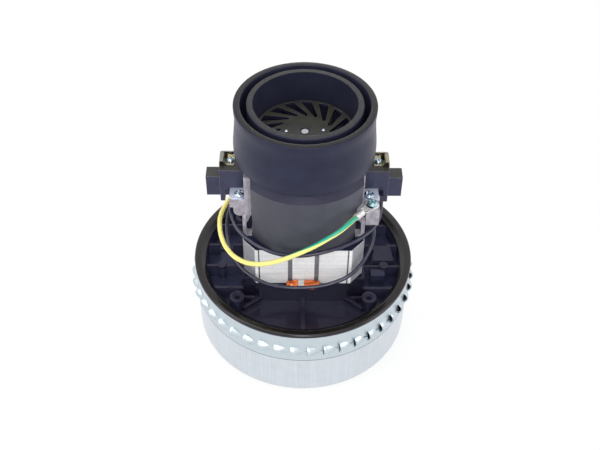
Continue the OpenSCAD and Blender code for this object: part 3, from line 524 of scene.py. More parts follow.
# Rolled brass, ground steel, polished bearing steel, stamped aluminium and turned copper, each in
# its own clean tone. Where a tool turned the piece its marks lie level.
BRASS = SheetMetal("brass_sheet", "#c9a75e", tint="#b48f4a", roughness=0.3, grain=Grain.LEVEL,
                   grain_size=0.6, marks=0.08)
BRIGHT_STEEL = SheetMetal("bright_steel", "#d0d2d6", tint="#bdbfc4", roughness=0.24, grain=Grain.LEVEL,
                          grain_size=0.4, marks=0.06)
BEARING_STEEL = SheetMetal("bearing_steel", "#d3d4d8", tint="#c4c6cb", roughness=0.12, grain=Grain.LEVEL,
                           grain_size=0.3, marks=0.04)
IMPELLER = SheetMetal("impeller_aluminium", "#c9cbcf", tint="#b9bbc0", roughness=0.38, grain_size=0.7,
                      marks=0.08)
COMMUTATOR = SheetMetal("commutator_copper", "#b87748", tint="#8d5a38", roughness=0.28, grain=Grain.LEVEL,
                        grain_size=0.4)
# Die-cast zinc alloy: matt mottled grey, lighter where its edges are rubbed.
CAST = CastMetal("die_cast_metal", "#c2bec9", dark="#8f8a93")
# Silicon steel laminations, bare at the cut: light grey with a line at every sheet, and painted shade
# in the slots, on the wings and on the cut corners.
STACK = Laminations("lamination_steel", "#ffffff")
# Enamelled copper wire: glossy orange, turn beside turn.
COPPER = EnamelWire("enamelled_copper", "#e07832")
# Polyester lacing cord: matt white.
TIE_CORD = WovenCord("tie_cord", "#eceee9")
# Glass-filled polyester, polished mould: black with clear reflections, with painted bluish light in its side
# pockets and a painted reflection on its faces that look up.
GLOSS_BLACK = MouldedPlastic("gloss_black_plastic", "#201f2d", top="#2b2937", roughness=0.13, variation=0.2,
                             grain=1.4, depth=0.01, edge=0.5, gloss=0.3, coat=0.1, pocket_light="#33354b")
# The same plastic on the rolled rim, where it shines most, with a painted warm reflection on its faces that
# look up.
RIM_BLACK = MouldedPlastic("rim_plastic", "#17161c", top="#161412", roughness=0.16, variation=0.15,
                           grain=1.4, depth=0.006, gloss=0.45, coat=0.3, sheen="#c4bfc0")
# Polyamide with a textured skin: greyish on its sides and dusty, with a painted warm reflection where it
# faces up, painted shading on its sloping shoulder and painted shade on its neck inside the ring.
COVER_BLACK = MouldedPlastic("cover_plastic", "#46474f", top="#24221d", slope_shading="#33323f", roughness=0.46,
                             variation=0.12, grain=0.45, depth=0.07, edge=0.5, dust=0.12, gloss=0.4,
                             crown_shade="#262838")
# Phenolic moulding of the brush holders: satin, its edges pale, partly rubbed and partly a painted
# highlight, and a painted warm reflection on its faces that look up.
HOLDER_BLACK = MouldedPlastic("holder_plastic", "#3c3d50", top="#393833", roughness=0.36, variation=0.14,
                              grain=0.5, edge=0.35, gloss=0.35, rub_and_glint=0.8)
# Polyamide of the cooling fan: satin, its edges a little pale, partly rubbed and partly a painted
# highlight, with a painted olive reflection on its faces that look up.
FAN_BLACK = MouldedPlastic("fan_plastic", "#26273a", top="#38372f", roughness=0.34, grain=0.6, edge=0.25,
                           rub_and_glint=0.4)
# Moulded rubber: dark, soft and dusty, with a painted warm reflection on its faces that look up.
RUBBER = MouldedPlastic("ring_rubber", "#292b3c", top="#1e1d18", roughness=0.4, variation=0.14, grain=0.4,
                        depth=0.03, edge=0.4, dust=0.45, gloss=0.3)
# Dark blue moulded end plates of the stack, with painted light on their faces that look up.
INSULATOR = MouldedPlastic("insulator_plastic", "#1c2236", top="#20263a", roughness=0.35, variation=0.2,
                           grain=0.6, edge=0.15, gloss=0.4)
# Black plastic, graphite, brush carbon and brown phenolic inside the motor: all dull.
DIFFUSER = MouldedPlastic("diffuser_plastic", "#26262a", roughness=0.5, variation=0.2, grain=0.6)
GRAPHITE = MouldedPlastic("graphite_seal", "#2c2c2b", roughness=0.6, variation=0.3, grain=0.3, depth=0.04,
                          edge=0.1)
CARBON = MouldedPlastic("brush_carbon", "#1d1d1d", roughness=0.55, variation=0.3, grain=0.25, depth=0.05,
                        edge=0.1)
PHENOLIC = MouldedPlastic("phenolic", "#2a1710", roughness=0.4, grain=0.4, edge=0.2)
# Soft vinyl sheaths: yellow with a green stripe, and black.
EARTH_SHEATH = WireSheath("earth_sheath", "#f5e884", stripe="#1bae8c", roughness=0.3)
BLACK_SHEATH = WireSheath("black_sheath", "#1b1b36")


def round_curve(name: str, paths: Sequence[Sequence[Point]], radius: float, sides: int,
                steps: int) -> bpy.types.Curve:
    """Makes a curve of round section with one smooth spline along each path.

    Args:
        name: the curve's name.
        paths: each spline's points in millimetres.
        radius: radius of the section in millimetres.
        sides: bevel resolution of the section.
        steps: steps between two points.

    Returns:
        The curve.
    """
    curve = bpy.data.curves.new(name, "CURVE")
    curve.dimensions = "3D"
    curve.bevel_depth = radius * MM
    curve.bevel_resolution = sides
    curve.resolution_u = steps
    curve.use_fill_caps = True
    for path in paths:
        spline = curve.splines.new("BEZIER")
        spline.bezier_points.add(len(path) - 1)
        for knot, point in zip(spline.bezier_points, path):
            knot.co = metres(point)
            knot.handle_left_type = knot.handle_right_type = "AUTO"
    return curve


def swept(curve: bpy.types.Curve) -> bpy.types.Mesh:
    """Makes the mesh that a curve sweeps.

    Args:
        curve: a curve with a bevel.

    Returns:
        The mesh.
    """
    holder = placed(curve.name, curve)
    bpy.context.view_layer.update()
    graph = bpy.context.evaluated_depsgraph_get()
    mesh = bpy.data.meshes.new_from_object(holder.evaluated_get(graph), depsgraph=graph)
    bpy.data.objects.remove(holder)
    return mesh


@dataclass
class Wardrobe:
    """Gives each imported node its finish, and makes each material once."""

    worn: dict[Finish, Sequence[str]] = field(default_factory=lambda: {
        CUP: ["inlet_cup"],
        ZINC_BAND: ["louvre_band"],
        GLOSS_BLACK: ["fan_end_bracket"],
        DIFFUSER: ["stationary_fan"],
        GRAPHITE: ["air_seal"],
        STACK: ["field_core", "armature_core"],
        COPPER: ["field_coil_front", "field_coil_rear", "armature_winding"],
        TIE_CORD: ["coil_ties"],
        INSULATOR: ["upper_insulator", "lower_insulator"],
        CAST: ["commutator_bracket"],
        BRIGHT_STEEL: ["bearing_retainer", "stack_screws", "shaft", "impeller_spacer", "bearing_spacer",
                       "shaft_nut", "shaft_washer", "brush_spring_left", "brush_spring_right"],
        BEARING_STEEL: ["lower_bearing_outer_ring", "lower_bearing_balls", "lower_bearing_inner_ring",
                        "upper_bearing_outer_ring", "upper_bearing_balls", "upper_bearing_inner_ring"],
        HOLDER_BLACK: ["brush_holder_left", "brush_holder_right"],
        BRASS: ["brush_guide_left", "brush_guide_right", "lead_terminals"],
        CARBON: ["brush_left", "brush_right"],
        ZINC_CLIP: ["holder_clip_left", "holder_clip_right"],
        ZINC_PLATE: ["clamp_plates"],
        SCREW_STEEL: ["clip_screws", "clamp_screws", "fan_rivets"],
        EARTH_STEEL: ["earth_screw"],
        TINNED: ["earth_terminal"],
        EARTH_SHEATH: ["earth_lead"],
        BLACK_SHEATH: ["upper_black_lead", "lower_black_lead", "holder_lead_terminal"],
        COMMUTATOR: ["commutator_bars"],
        PHENOLIC: ["commutator_hub"],
        IMPELLER: ["first_stage_impeller", "second_stage_impeller"],
        FAN_BLACK: ["cooling_fan"],
        COVER_BLACK: ["fan_cover"],
        RUBBER: ["mount_ring"],
    })
    made: dict[Finish, bpy.types.Material] = field(default_factory=dict)

    def material(self, finish: Finish) -> bpy.types.Material:
        """Returns the finish's material, made at its first use."""
        if finish not in self.made:
            self.made[finish] = finish.build()
        return self.made[finish]

    def dress(self, piece: Piece, finish: Finish) -> Piece:
        """Puts one finish on a piece.

        Args:
            piece: a mesh object.
            finish: what it wears.

        Returns:
            The piece.
        """
        piece.data.materials.clear()
        piece.data.materials.append(self.material(finish))
        return piece

    def dress_frame(self, nodes: dict[str, Piece]) -> None:
        """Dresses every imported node.

        Args:
            nodes: the frame's nodes by name.
        """
        for finish, names in self.worn.items():
            for name in names:
                self.dress(nodes[name], finish)
        LOG.info("dressed %d packed nodes", len(nodes))


@dataclass
class Workshop:
    """Turns bmeshes and paths into finished pieces that ride on a body."""

    wardrobe: Wardrobe

    def piece(self, name: str, shape: bmesh.types.BMesh, finish: Finish, body: str, slot: str,
              smooth: float = 40.0) -> Piece:
        """Makes an object of a bmesh.

        Args:
            name: the piece's name.
            shape: its mesh, in metres in the frame; freed here.
            finish: what it wears.
            body: the body that it rides on.
            slot: the record's material slot; not used.
            smooth: edges flatter than this many degrees are shaded smooth.

        Returns:
            The new object.
        """
        bmesh.ops.remove_doubles(shape, verts=shape.verts, dist=1e-6)
        bmesh.ops.recalc_face_normals(shape, faces=shape.faces)
        for face in shape.faces:
            face.smooth = True
        for edge in shape.edges:
            edge.smooth = not edge.is_manifold or edge.calc_face_angle() < math.radians(smooth)
        mesh = bpy.data.meshes.new(name)
        shape.to_mesh(mesh)
        shape.free()
        made = placed(name, mesh)
        self.wardrobe.dress(made, finish)
        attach(made, body)
        LOG.info("made %s: %d faces", name, len(mesh.polygons))
        return made

    @staticmethod
    def lathe(profile: Sequence[tuple[float, float]], steps: int = 128) -> bmesh.types.BMesh:
        """Turns a closed outline round the shaft axis.

        Args:
            profile: radius and height in millimetres, closed.
            steps: steps of the full turn.

        Returns:
            The turned bmesh, in metres.
        """
        shape = bmesh.new()
        verts = [shape.verts.new(metres((r, 0, z))) for r, z in profile]
        edges = [shape.edges.new((a, b)) for a, b in zip(verts, verts[1:] + verts[:1])]
        bmesh.ops.spin(shape, geom=verts + edges, cent=(0, 0, 0), axis=(0, 0, 1), angle=2 * math.pi,
                       steps=steps, use_merge=True)
        return shape

    @staticmethod
    def joined(parts: Iterable[bmesh.types.BMesh]) -> bmesh.types.BMesh:
        """Joins several bmeshes into one and frees them.

        Args:
            parts: the bmeshes.

        Returns:
            One bmesh with all of them.
        """
        whole = bmesh.new()
        for part in parts:
            mesh = bpy.data.meshes.new("part")
            part.to_mesh(mesh)
            part.free()
            whole.from_mesh(mesh)
            bpy.data.meshes.remove(mesh)
        return whole

    @staticmethod
    def strands(paths: Sequence[Sequence[Point]], radius: float, sides: int = 3) -> bmesh.types.BMesh:
        """Sweeps round strands along smooth paths.

        Args:
            paths: each strand's points in millimetres.
            radius: the strand's radius in millimetres.
            sides: bevel resolution of a strand.

        Returns:
            One bmesh with all the strands.
        """
        mesh = swept(round_curve("strands", paths, radius, sides, 4))
        shape = bmesh.new()
        shape.from_mesh(mesh)
        bpy.data.meshes.remove(mesh)
        return shape


def ramp(value: float, start: float, end: float) -> float:
    """Returns 0 at start and 1 at end, straight between them and flat outside."""
    return min(max((value - start) / (end - start), 0.0), 1.0)


def rounded(corners: Sequence[tuple[float, float, float]], steps: int = 6) -> list[tuple[float, float]]:
    """Rounds the corners of a closed outline.

    Args:
        corners: first coordinate, second coordinate and corner radius.
        steps: points along each rounded corner.

    Returns:
        The outline's points.
    """
    points: list[tuple[float, float]] = []
    count = len(corners)
    for i, (x, y, radius) in enumerate(corners):
        here = Vector((x, y))
        if radius <= 0:
            points.append((x, y))
            continue
        back = (Vector(corners[i - 1][:2]) - here).normalized()
        ahead = (Vector(corners[(i + 1) % count][:2]) - here).normalized()
        half = back.angle(ahead) / 2
        reach = radius / math.tan(half)
        centre = here + (back + ahead).normalized() * (radius / math.sin(half))
        start, end = here + back * reach - centre, here + ahead * reach - centre
        sweep = start.angle_signed(end)
        for k in range(steps + 1):
            spoke = Matrix.Rotation(-sweep * k / steps, 2) @ start
            points.append(tuple(centre + spoke))
    return points


def move(shape: bmesh.types.BMesh, angle: float, axis: str = "Z", shift: Point = (0, 0, 0)) -> None:
    """Turns a shape by radians about an axis through the origin, then shifts it by millimetres."""
    bmesh.ops.rotate(shape, verts=shape.verts, cent=(0, 0, 0), matrix=Matrix.Rotation(angle, 3, axis))
    bmesh.ops.translate(shape, verts=shape.verts, vec=metres(shift))


@dataclass
class Lead:
    """One flexible lead: its node, its given route and its twist."""

    name: str
    node: str
    slot: str
    finish: Finish
    diameter: float
    route: Sequence[Point]
    tilts: Sequence[float] = (0.0,)
    with_nodes: Sequence[str] = ()
    steps: int = 8
    sides: int = 6

    def centreline(self, curve: bpy.types.Curve) -> list[Vector]:
        """Points along the curve's own line, close together.

        Args:
            curve: a curve with one Bezier spline.

        Returns:
            The points in metres.
        """
        knots = curve.splines[0].bezier_points
        line: list[Vector] = [knots[0].co.copy()]
        for a, b in zip(knots, list(knots)[1:]):
            line += interpolate_bezier(a.co, a.handle_right, b.handle_left, b.co, self.steps + 1)[1:]
        return line

    def build(self, workshop: Workshop) -> Piece:
        """Args:
            workshop: where pieces are made.

        Returns:
            The lead's mesh object.
        """
        curve = round_curve(self.name + "_line", [self.route], self.diameter / 2, self.sides, self.steps)
        curve.twist_mode = "MINIMUM"
        for i, knot in enumerate(curve.splines[0].bezier_points):
            place = i / (len(self.route) - 1) * (len(self.tilts) - 1)
            low = min(int(place), max(len(self.tilts) - 2, 0))
            high = min(low + 1, len(self.tilts) - 1)
            knot.tilt = math.radians(self.tilts[low] + (self.tilts[high] - self.tilts[low]) * (place - low))
        mesh = swept(curve)
        line = self.centreline(curve)
        for layer in mesh.uv_layers:
            layer.name = "sheath"
        for face in mesh.polygons:
            face.use_smooth = len(face.vertices) == 4
        made = placed(self.name, mesh)
        workshop.wardrobe.dress(made, self.finish)
        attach(made, HOUSING)
        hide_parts(self.node)
        return made


@dataclass
class LeadSet:
    """The three leads of the motor, on the routes of their solids."""

    earth: Lead = field(default_factory=lambda: Lead(
        "earth_wire", "earth_lead", "yellow_green_sheath", EARTH_SHEATH, 3.0, [
            (30.42, -31.54, 119.6), (27.2, -35.17, 119.4), (21.2, -39.6, 116.6), (13.6, -42.6, 112.8),
            (6, -44.6, 108.6), (-2.4, -45.6, 104), (-12, -45.2, 98), (-21, -43.2, 92.4),
            (-30, -39.4, 87.4), (-39, -33.2, 84), (-46.6, -24.8, 83.2), (-51.6, -15.2, 85.2),
            (-53.4, -6, 89.6), (-52.6, 1, 91.6), (-49.6, 8.6, 93.4), (-45.8, 16.4, 95.2),
            (-44.1, 23, 99), (-38.4, 29, 100.4), (-27.4, 39.2, 99), (-13.4, 45.8, 98),
            (1.6, 47.4, 98), (14.6, 45.2, 99.4), (23.6, 41, 99.4)], (290, 348, 440, 500, 510, 510, 510, 510)))
    upper: Lead = field(default_factory=lambda: Lead(
        "upper_black_wire", "upper_black_lead", "black_sheath", BLACK_SHEATH, 2.5, [
            (47.7, -8.7, 113), (47.7, -9, 109.4), (47.2, -12.4, 104.2), (44.6, -18, 101.4),
            (40.4, -23.6, 100.6), (34.2, -29.4, 100.2), (26.4, -34.4, 99.8), (17.4, -38.2, 99.2),
            (7, -40.6, 98), (-4, -41, 96.6), (-15, -38.8, 95.8), (-24.4, -34, 95.4),
            (-32.6, -28, 95.8), (-39.6, -21.8, 97.8), (-43.8, -14.6, 100.6), (-45.6, -6.4, 102.4),
            (-44.8, 2, 102.6), (-42.8, 10.6, 101.2), (-41.8, 18.2, 98.2), (-39.4, 25.4, 96.4),
            (-32.6, 31.6, 95.6), (-23.4, 37, 95.2), (-12.4, 40.8, 95), (-2.4, 42.4, 95),
            (7, 42, 95)]))
    lower: Lead = field(default_factory=lambda: Lead(
        "lower_black_wire", "lower_black_lead", "black_sheath", BLACK_SHEATH, 2.5, [
            (25.54, -9.6, 97.4), (29, -9.6, 97.4), (33, -12.6, 98), (37.2, -14.6, 98.8),
            (41, -15.4, 98.8), (43.4, -16.6, 95.8), (43.6, -18.8, 91), (42.4, -22, 85.8),
            (39.4, -26.6, 81.4), (35, -31.8, 77.8), (28.6, -36.6, 74.4), (19.6, -39.8, 71.6),
            (9, -41.8, 69.7), (-3, -42.2, 68.9), (-14.6, -41.2, 68.8), (-25, -38.2, 69.2),
            (-33.8, -32.6, 70), (-41, -25, 71.2), (-46.2, -15.8, 74), (-48.8, -6.4, 78.8),
            (-49.2, 3, 83.6), (-47.4, 12, 87.4), (-43, 21.6, 89.2), (-35.4, 32.2, 89.4),
            (-24.4, 41.2, 89), (-11.4, 46.4, 88.6), (1.4, 47.6, 88.4), (12.6, 46, 88.4)]))

    def build(self, workshop: Workshop) -> None:
        """Lays all three leads."""
        for lead in (self.earth, self.upper, self.lower):
            lead.build(workshop)


@dataclass
class PhotoCamera:
    """The camera that took the photograph, solved from the object's circles and rims."""

    focal_px: float = 853.4
    frame_px: float = 600.0
    pitch: float = 44.462
    roll: float = 0.718
    yaw: float = -0.481
    place: Point = (-5.515, -394.95, 470.03)
    sensor: float = 36.0

    def build(self) -> Piece:
        """Makes the camera and makes it the scene's.

        Returns:
            The camera object.
        """
        data = bpy.data.cameras.new("photo_camera")
        data.sensor_width = self.sensor
        data.lens = self.focal_px / self.frame_px * self.sensor
        data.clip_start, data.clip_end = 0.01, 20.0
        turn = (Matrix.Rotation(math.radians(self.yaw), 4, "Z")
                @ Matrix.Rotation(math.radians(90 - self.pitch), 4, "X")
                @ Matrix.Rotation(math.radians(self.roll), 4, "Z"))
        camera = placed("photo_camera", data)
        camera.matrix_world = Matrix.Translation(metres(self.place)) @ turn
        bpy.context.scene.camera = camera
        return camera


@dataclass
class Studio:
    """Plain pale floor, pale surroundings and soft lamps."""

    floor_half: float = 3.0
    world_level: float = 0.5
    floor_glow: float = 0.8
    aim: Point = (0, 0, 0.08)
    lamps: Sequence[tuple[str, Point, float, float]] = (
        ("top_light", (-0.25, 0.15, 1.5), 1.0, 8.0),
        ("left_light", (-1.4, -0.5, 0.8), 0.8, 7.0),
        ("right_light", (1.4, -0.4, 0.8), 0.8, 6.0),
        ("front_light", (0.1, -1.5, 0.9), 0.8, 6.0),
        ("camera_light", (0.0, -0.93, 1.12), 0.26, 4.0),
        ("back_light", (0.1, 2.0, 0.5), 0.9, 9.0),
    )

    def build(self) -> None:
        """Makes the floor, the world and the lamps."""
        bpy.context.scene.view_settings.view_transform = "Standard"
        self.build_floor()
        self.build_world()
        for name, place, size, power in self.lamps:
            data = bpy.data.lights.new(name, "AREA")
            data.shape = "SQUARE"
            data.size = size
            data.energy = power
            lamp = placed(name, data)
            lamp.location = place
            lamp.rotation_mode = "QUATERNION"
            lamp.rotation_quaternion = (Vector(self.aim) - Vector(place)).to_track_quat("-Z", "Y")

    def build_floor(self) -> None:
        """Makes the pale floor, which keeps the object's shadow."""
        shape = bmesh.new()
        bmesh.ops.create_grid(shape, x_segments=1, y_segments=1, size=self.floor_half)
        mesh = bpy.data.meshes.new("floor")
        shape.to_mesh(mesh)
        shape.free()
        floor = placed("floor", mesh)
        g = Graph("floor_paint")
        g.set(Base_Color=linear("#f1f1f1"), Roughness=0.9, Specular_IOR_Level=0.1)
        glow = g.add("ShaderNodeEmission", {"Color": WHITE, "Strength": 1.0})
        share = g.sum(g.seen(), self.floor_glow, "MULTIPLY")
        both = g.add("ShaderNodeMixShader", {0: share, 1: g.shader.outputs[0], 2: glow.outputs[0]})
        g.feed(g.output.inputs["Surface"], both.outputs[0])
        mesh.materials.append(g.material)

    def build_world(self) -> None:
        """Makes the pale surroundings, which look white where they are seen."""
        world = bpy.data.worlds.new("surroundings")
        bpy.context.scene.world = world
        world.use_nodes = True
        tree = NodeTree(world.node_tree)
        light = tree.add("ShaderNodeBackground", {"Color": WHITE, "Strength": self.world_level})
        shown = tree.add("ShaderNodeBackground", {"Color": WHITE, "Strength": 1.0})
        both = tree.add("ShaderNodeMixShader", {0: tree.seen(), 1: light.outputs[0], 2: shown.outputs[0]})
        tree.add("ShaderNodeOutputWorld", {"Surface": both.outputs[0]})


@dataclass
class MountRing:
    """Rubber ring round the neck, with soft corners and a bead at its foot."""

    outside: float = 41.4
    bead: float = 41.9
    wall: float = 4.0
    neck: float = 33.82
    foot: float = 146.0
    floor: float = 151.0
    top: float = 180.0
    flank: Sequence[tuple[float, float]] = (
        (31.0, 0.9), (29.0, 0.94), (27.0, 0.92), (25.0, 0.83), (23.0, 0.66), (21.0, 0.46), (19.0, 0.27),
        (17.0, 0.09), (15.0, -0.09), (13.0, -0.27), (11.0, -0.42), (9.0, -0.5), (7.0, -0.45), (5.0, -0.28),
        (3.5, -0.12))

    def build(self, workshop: Workshop) -> None:
        """Turns the ring.

        Args:
            workshop: where pieces are made.
        """
        inside = self.outside - self.wall
        outline = rounded([
            (self.neck, self.foot, 0), (self.bead, self.foot, 0.3), (self.bead + 0.1, self.foot + 1.0, 0.3),
            (self.bead - 0.1, self.foot + 1.3, 0.2), (self.bead + 0.3, self.foot + 1.7, 0.3)]
            + [(self.outside + flare, self.top - drop, 0) for drop, flare in self.flank]
            + [(self.outside, self.top, 0.8), (inside, self.top, 0.6), (inside, self.floor, 0.6),
               (self.neck, self.floor, 0)])
        ring = workshop.piece("rubber_ring", workshop.lathe(outline, 160), RUBBER, HOUSING, "rubber_black")
        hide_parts("mount_ring")


@dataclass
class CrossScrews:
    """Screws of one size with domed heads and a soft cross recess."""

    name: str
    node: str
    finish: Finish
    spots: Sequence[Point]
    head: float
    height: float
    shank: float
    length: float
    turns: Sequence[float] = (0.3, 1.1, 0.7, 0.1)
    dome_steps: int = 14
    dome_drop: float = 0.36
    arm: tuple[float, float] = (0.2, 0.1)
    reach: tuple[float, float] = (0.68, 0.52)
    recess: float = 0.55

    def one(self, spot: Point, turn: float) -> bmesh.types.BMesh:
        """Makes one screw.

        Args:
            spot: centre of the head's seat in millimetres.
            turn: turn of the recess in radians.

        Returns:
            The screw's bmesh.
        """
        shares = [k / self.dome_steps for k in range(1, self.dome_steps)]
        dome = [(self.head * share, self.height * (1 - self.dome_drop * share ** 2.6)) for share in shares]
        outline = [(0.0, self.height)] + dome + [
            (self.head * 0.985, self.height * 0.52), (self.head, self.height * 0.36),
            (self.head, self.height * 0.06), (self.head * 0.97, 0.0), (self.shank, 0.0),
            (self.shank, -self.length), (0.0, -self.length)]
        shape = Workshop.lathe(outline, 72)
        for vert in shape.verts:
            x, y, z = vert.co / MM
            reach = math.hypot(x, y) / self.head
            arm = min(abs(x), abs(y)) / self.head
            if z > self.height * self.recess:
                depth = ramp(arm, *self.arm) * ramp(reach, *self.reach)
                vert.co.z -= depth * self.height * self.recess * MM
        move(shape, turn, shift=spot)
        return shape

    def build(self, workshop: Workshop) -> None:
        """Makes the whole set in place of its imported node.

        Args:
            workshop: where pieces are made.
        """
        parts = [self.one(spot, self.turns[i % len(self.turns)]) for i, spot in enumerate(self.spots)]
        made = workshop.piece(self.name, workshop.joined(parts), self.finish, HOUSING, "bright_steel", 50)
        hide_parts(self.node)


@dataclass
class ScrewSet:
    """All cross-head screws that show."""

    clamps: CrossScrews = field(default_factory=lambda: CrossScrews(
        "clamp_screw_heads", "clamp_screws", SCREW_STEEL,
        [(x, y, 119.72) for x in (-39.4, 39.4) for y in (-12.4, 13.4)], 3.1, 2.3, 1.93, 9.0))
    clips: CrossScrews = field(default_factory=lambda: CrossScrews(
        "clip_screw_heads", "clip_screws", SCREW_STEEL, [(-44.9, 2.7, 134.42), (44.9, 2.7, 134.42)],
        2.2, 1.7, 1.43, 4.0, (0.5, 0.2)))
    earth: CrossScrews = field(default_factory=lambda: CrossScrews(
        "earth_screw_head", "earth_screw", EARTH_STEEL, [(41.0, -19.6, 119.54)], 3.1, 2.3, 1.93, 8.0,
        (0.9,)))

    def build(self, workshop: Workshop) -> None:
        """Makes the three sets."""
        for screws in (self.clamps, self.clips, self.earth):
            screws.build(workshop)


@dataclass
class RingTerminal:
    """Crimped terminal of the earth lead: a ring, a tongue that curls up and a dented barrel."""

    centre: Point = (41.0, -19.6, 118.72)
    heading: float = math.atan2(-11.4, -10.1)
    sheet: float = 0.8
    hole: float = 2.1
    outside: float = 4.1
    tongue: tuple[float, float] = (2.3, 9.9)
    widths: tuple[float, float] = (3.3, 2.1)
    curl: float = 1.5
    barrel: Sequence[tuple[float, float]] = (
        (1.4, 9.3), (2.0, 9.3), (2.2, 9.6), (2.22, 10.6), (1.98, 11.3), (2.0, 12.4), (2.22, 13.1),
        (2.22, 14.6), (2.1, 15.8), (1.4, 15.85))
    lift: float = 0.88
    curl_from: float = 0.35

    def build(self, workshop: Workshop) -> None:
        """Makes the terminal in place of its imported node.

        Args:
            workshop: where pieces are made.
        """
        ring = workshop.lathe(rounded([
            (self.hole, 0, 0.1), (self.outside, 0, 0.2), (self.outside, self.sheet, 0.3),
            (self.hole, self.sheet, 0.2)], 3), 64)
        tongue = bmesh.new()
        bmesh.ops.create_grid(tongue, x_segments=14, y_segments=10, size=1.0)
        for vert in tongue.verts:
            along = (vert.co.x + 1) / 2
            across = vert.co.y
            reach = self.tongue[0] + along * (self.tongue[1] - self.tongue[0])
            width = self.widths[0] + along * (self.widths[1] - self.widths[0])
            rise = self.curl * ramp(along, self.curl_from, 1.0) ** 1.5 * across ** 2
            vert.co = metres((reach, across * width, self.sheet + rise))
        bmesh.ops.solidify(tongue, geom=tongue.faces[:], thickness=self.sheet * 0.9 * MM)
        barrel = workshop.lathe(list(self.barrel), 32)
        move(barrel, math.pi / 2, "Y", (0, 0, self.lift))
        shape = workshop.joined([ring, tongue, barrel])
        move(shape, self.heading, shift=self.centre)
        made = workshop.piece("earth_ring_terminal", shape, TINNED, HOUSING, "bright_steel")
        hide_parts("earth_terminal")


@dataclass
class CoilTurns:
    """Separate turns of wire on the lower bulge of each field coil."""

    middle: tuple[float, float] = (-35.3, 64.1)
    reach: float = 2.84
    wire: float = 0.4
    count: int = 10
    first: float = -50
    sweep: float = 155
    sway: float = 0.07
    sway_step: float = 2.4
    end_slant: float = 1.4
    shares: Sequence[tuple[float, float]] = (
        (-9.4, 0.35), (-8.2, 0.8), (-5.4, 1.0), (-1.4, 0.97), (3.0, 1.0), (5.8, 1.0), (8.2, 0.78),
        (9.4, 0.35))

    def paths(self, side: int) -> list[list[Point]]:
        """Lays the turns over the bulge.

        Args:
            side: 1 for the front coil and -1 for the rear one.

        Returns:
            The path of each turn.
        """
        made: list[list[Point]] = []
        for i in range(self.count):
            angle = math.radians(self.first + i * self.sweep / (self.count - 1))
            wave = self.sway * math.sin(i * self.sway_step)
            path: list[Point] = []
            for x, share in self.shares:
                out = self.reach * share + wave
                y = self.middle[0] - out * math.cos(angle) + (1 - share) * self.end_slant
                path.append((x + wave * 4, side * y, self.middle[1] + out * math.sin(angle) - (1 - share)))
            made.append(path)
        return made

    def build(self, workshop: Workshop) -> None:
        """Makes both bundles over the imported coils."""
        for name, side in (("coil_turns_front", 1), ("coil_turns_rear", -1)):
            workshop.piece(name, workshop.strands(self.paths(side), self.wire), COPPER, HOUSING, "copper")


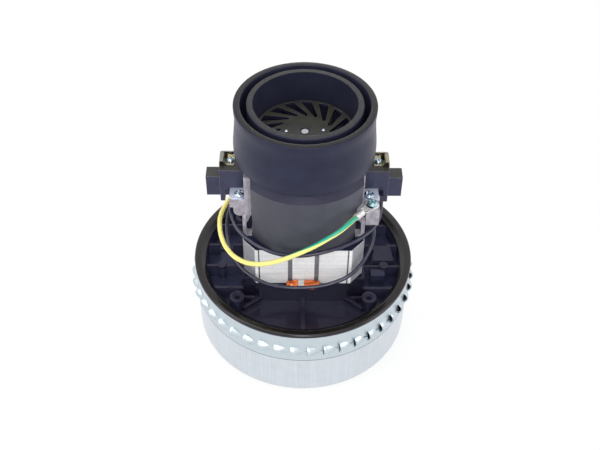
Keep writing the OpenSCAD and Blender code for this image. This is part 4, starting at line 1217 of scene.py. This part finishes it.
@dataclass
class Louvres:
    """Pressed blisters over the louvres of the band, open at their round end."""

    count: int = 44
    phase: float = -87.8
    band: float = 71.8
    centre: float = 42.8
    height: float = 3.12
    half: float = 4.12
    length: float = 9.4
    lead: float = 0.28
    skin: float = 0.4
    sunk: float = 0.12
    mouth_dip: float = 0.14
    mouth_share: float = 0.12
    rows: int = 16
    columns: int = 14
    seam_radii: tuple[float, float] = (71.3, 71.85)
    seam_heights: tuple[float, float] = (33.34, 33.6)

    def blister(self) -> bmesh.types.BMesh:
        """Makes one blister at the start of the turn.

        Returns:
            Its bmesh.
        """
        shape = bmesh.new()
        bmesh.ops.create_grid(shape, x_segments=self.rows, y_segments=self.columns, size=1.0)
        for vert in shape.verts:
            along = ((vert.co.x + 1) / 2) ** 1.3
            across = math.sin(vert.co.y * math.pi / 2)
            fade = max(1 - along ** 2, 0.0)
            bulge = max(1 - across ** 2, 0.0) ** (0.6 + 1.1 * along)
            mouth = 1 - self.mouth_dip * ramp(along, self.mouth_share, 0.0)
            rise = self.height * mouth * fade ** 1.6 * bulge
            turn = (along * self.length - self.lead) / self.band
            out = (self.band + rise - self.sunk) * MM
            vert.co = Vector((math.cos(turn) * out, math.sin(turn) * out,
                              (self.centre + across * self.half * fade ** 0.7) * MM))
        bmesh.ops.solidify(shape, geom=shape.faces[:], thickness=self.skin * MM)
        return shape

    def build(self, workshop: Workshop) -> None:
        """Makes all blisters and a painted shadow line in the seam below them.

        Args:
            workshop: where pieces are made.
        """
        parts: list[bmesh.types.BMesh] = []
        for i in range(self.count):
            part = self.blister()
            move(part, math.radians(self.phase + i * 360 / self.count))
            parts.append(part)
        workshop.piece("louvre_blisters", workshop.joined(parts), ZINC_BAND, HOUSING, "zinc_sheet", 50)
        # Painted shadow: a thin dull grey ring stands in for the shade in the gap under the band's edge.
        (inner, outer), (low, high) = self.seam_radii, self.seam_heights
        seam = workshop.lathe([(inner, low), (outer, low), (outer, high), (inner, high)], 160)
        workshop.piece("band_seam_shadow", seam, SEAM_SHADE, HOUSING, "zinc_sheet")


@dataclass
class BracketRim:
    """Rolled glossy rim of the fan-end bracket, over the plain rim of its solid."""

    outside: float = 72.06
    low: float = 56.12
    top: float = 58.4
    well: float = 64.42
    overlap: float = 2.0
    crest: float = 3.2
    shoulder: float = 2.6
    foot: float = 4.2

    def build(self, workshop: Workshop) -> None:
        """Turns the rim.

        Args:
            workshop: where pieces are made.
        """
        outline = rounded([
            (self.outside - self.overlap, self.low, 0), (self.outside, self.low, 0.3),
            (self.outside, self.top, 1.3), (self.well + self.crest, self.top, 1.6),
            (self.well, self.top - self.shoulder, 0.8), (self.well, self.top - self.foot, 0)], 8)
        workshop.piece("bracket_rim", workshop.lathe(outline, 192), RIM_BLACK, HOUSING,
                       "black_gloss_plastic")


def main() -> None:
    """Builds the camera, the leads, the pieces and the studio in order."""
    logging.basicConfig(level=logging.INFO, format="%(name)s: %(message)s")
    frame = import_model()
    wardrobe = Wardrobe()
    workshop = Workshop(wardrobe)
    PhotoCamera().build()
    LeadSet().build(workshop)
    wardrobe.dress_frame(frame["nodes"])
    MountRing().build(workshop)
    Louvres().build(workshop)
    BracketRim().build(workshop)
    ScrewSet().build(workshop)
    RingTerminal().build(workshop)
    CoilTurns().build(workshop)
    Studio().build()


if __name__ == "__main__":
    main()
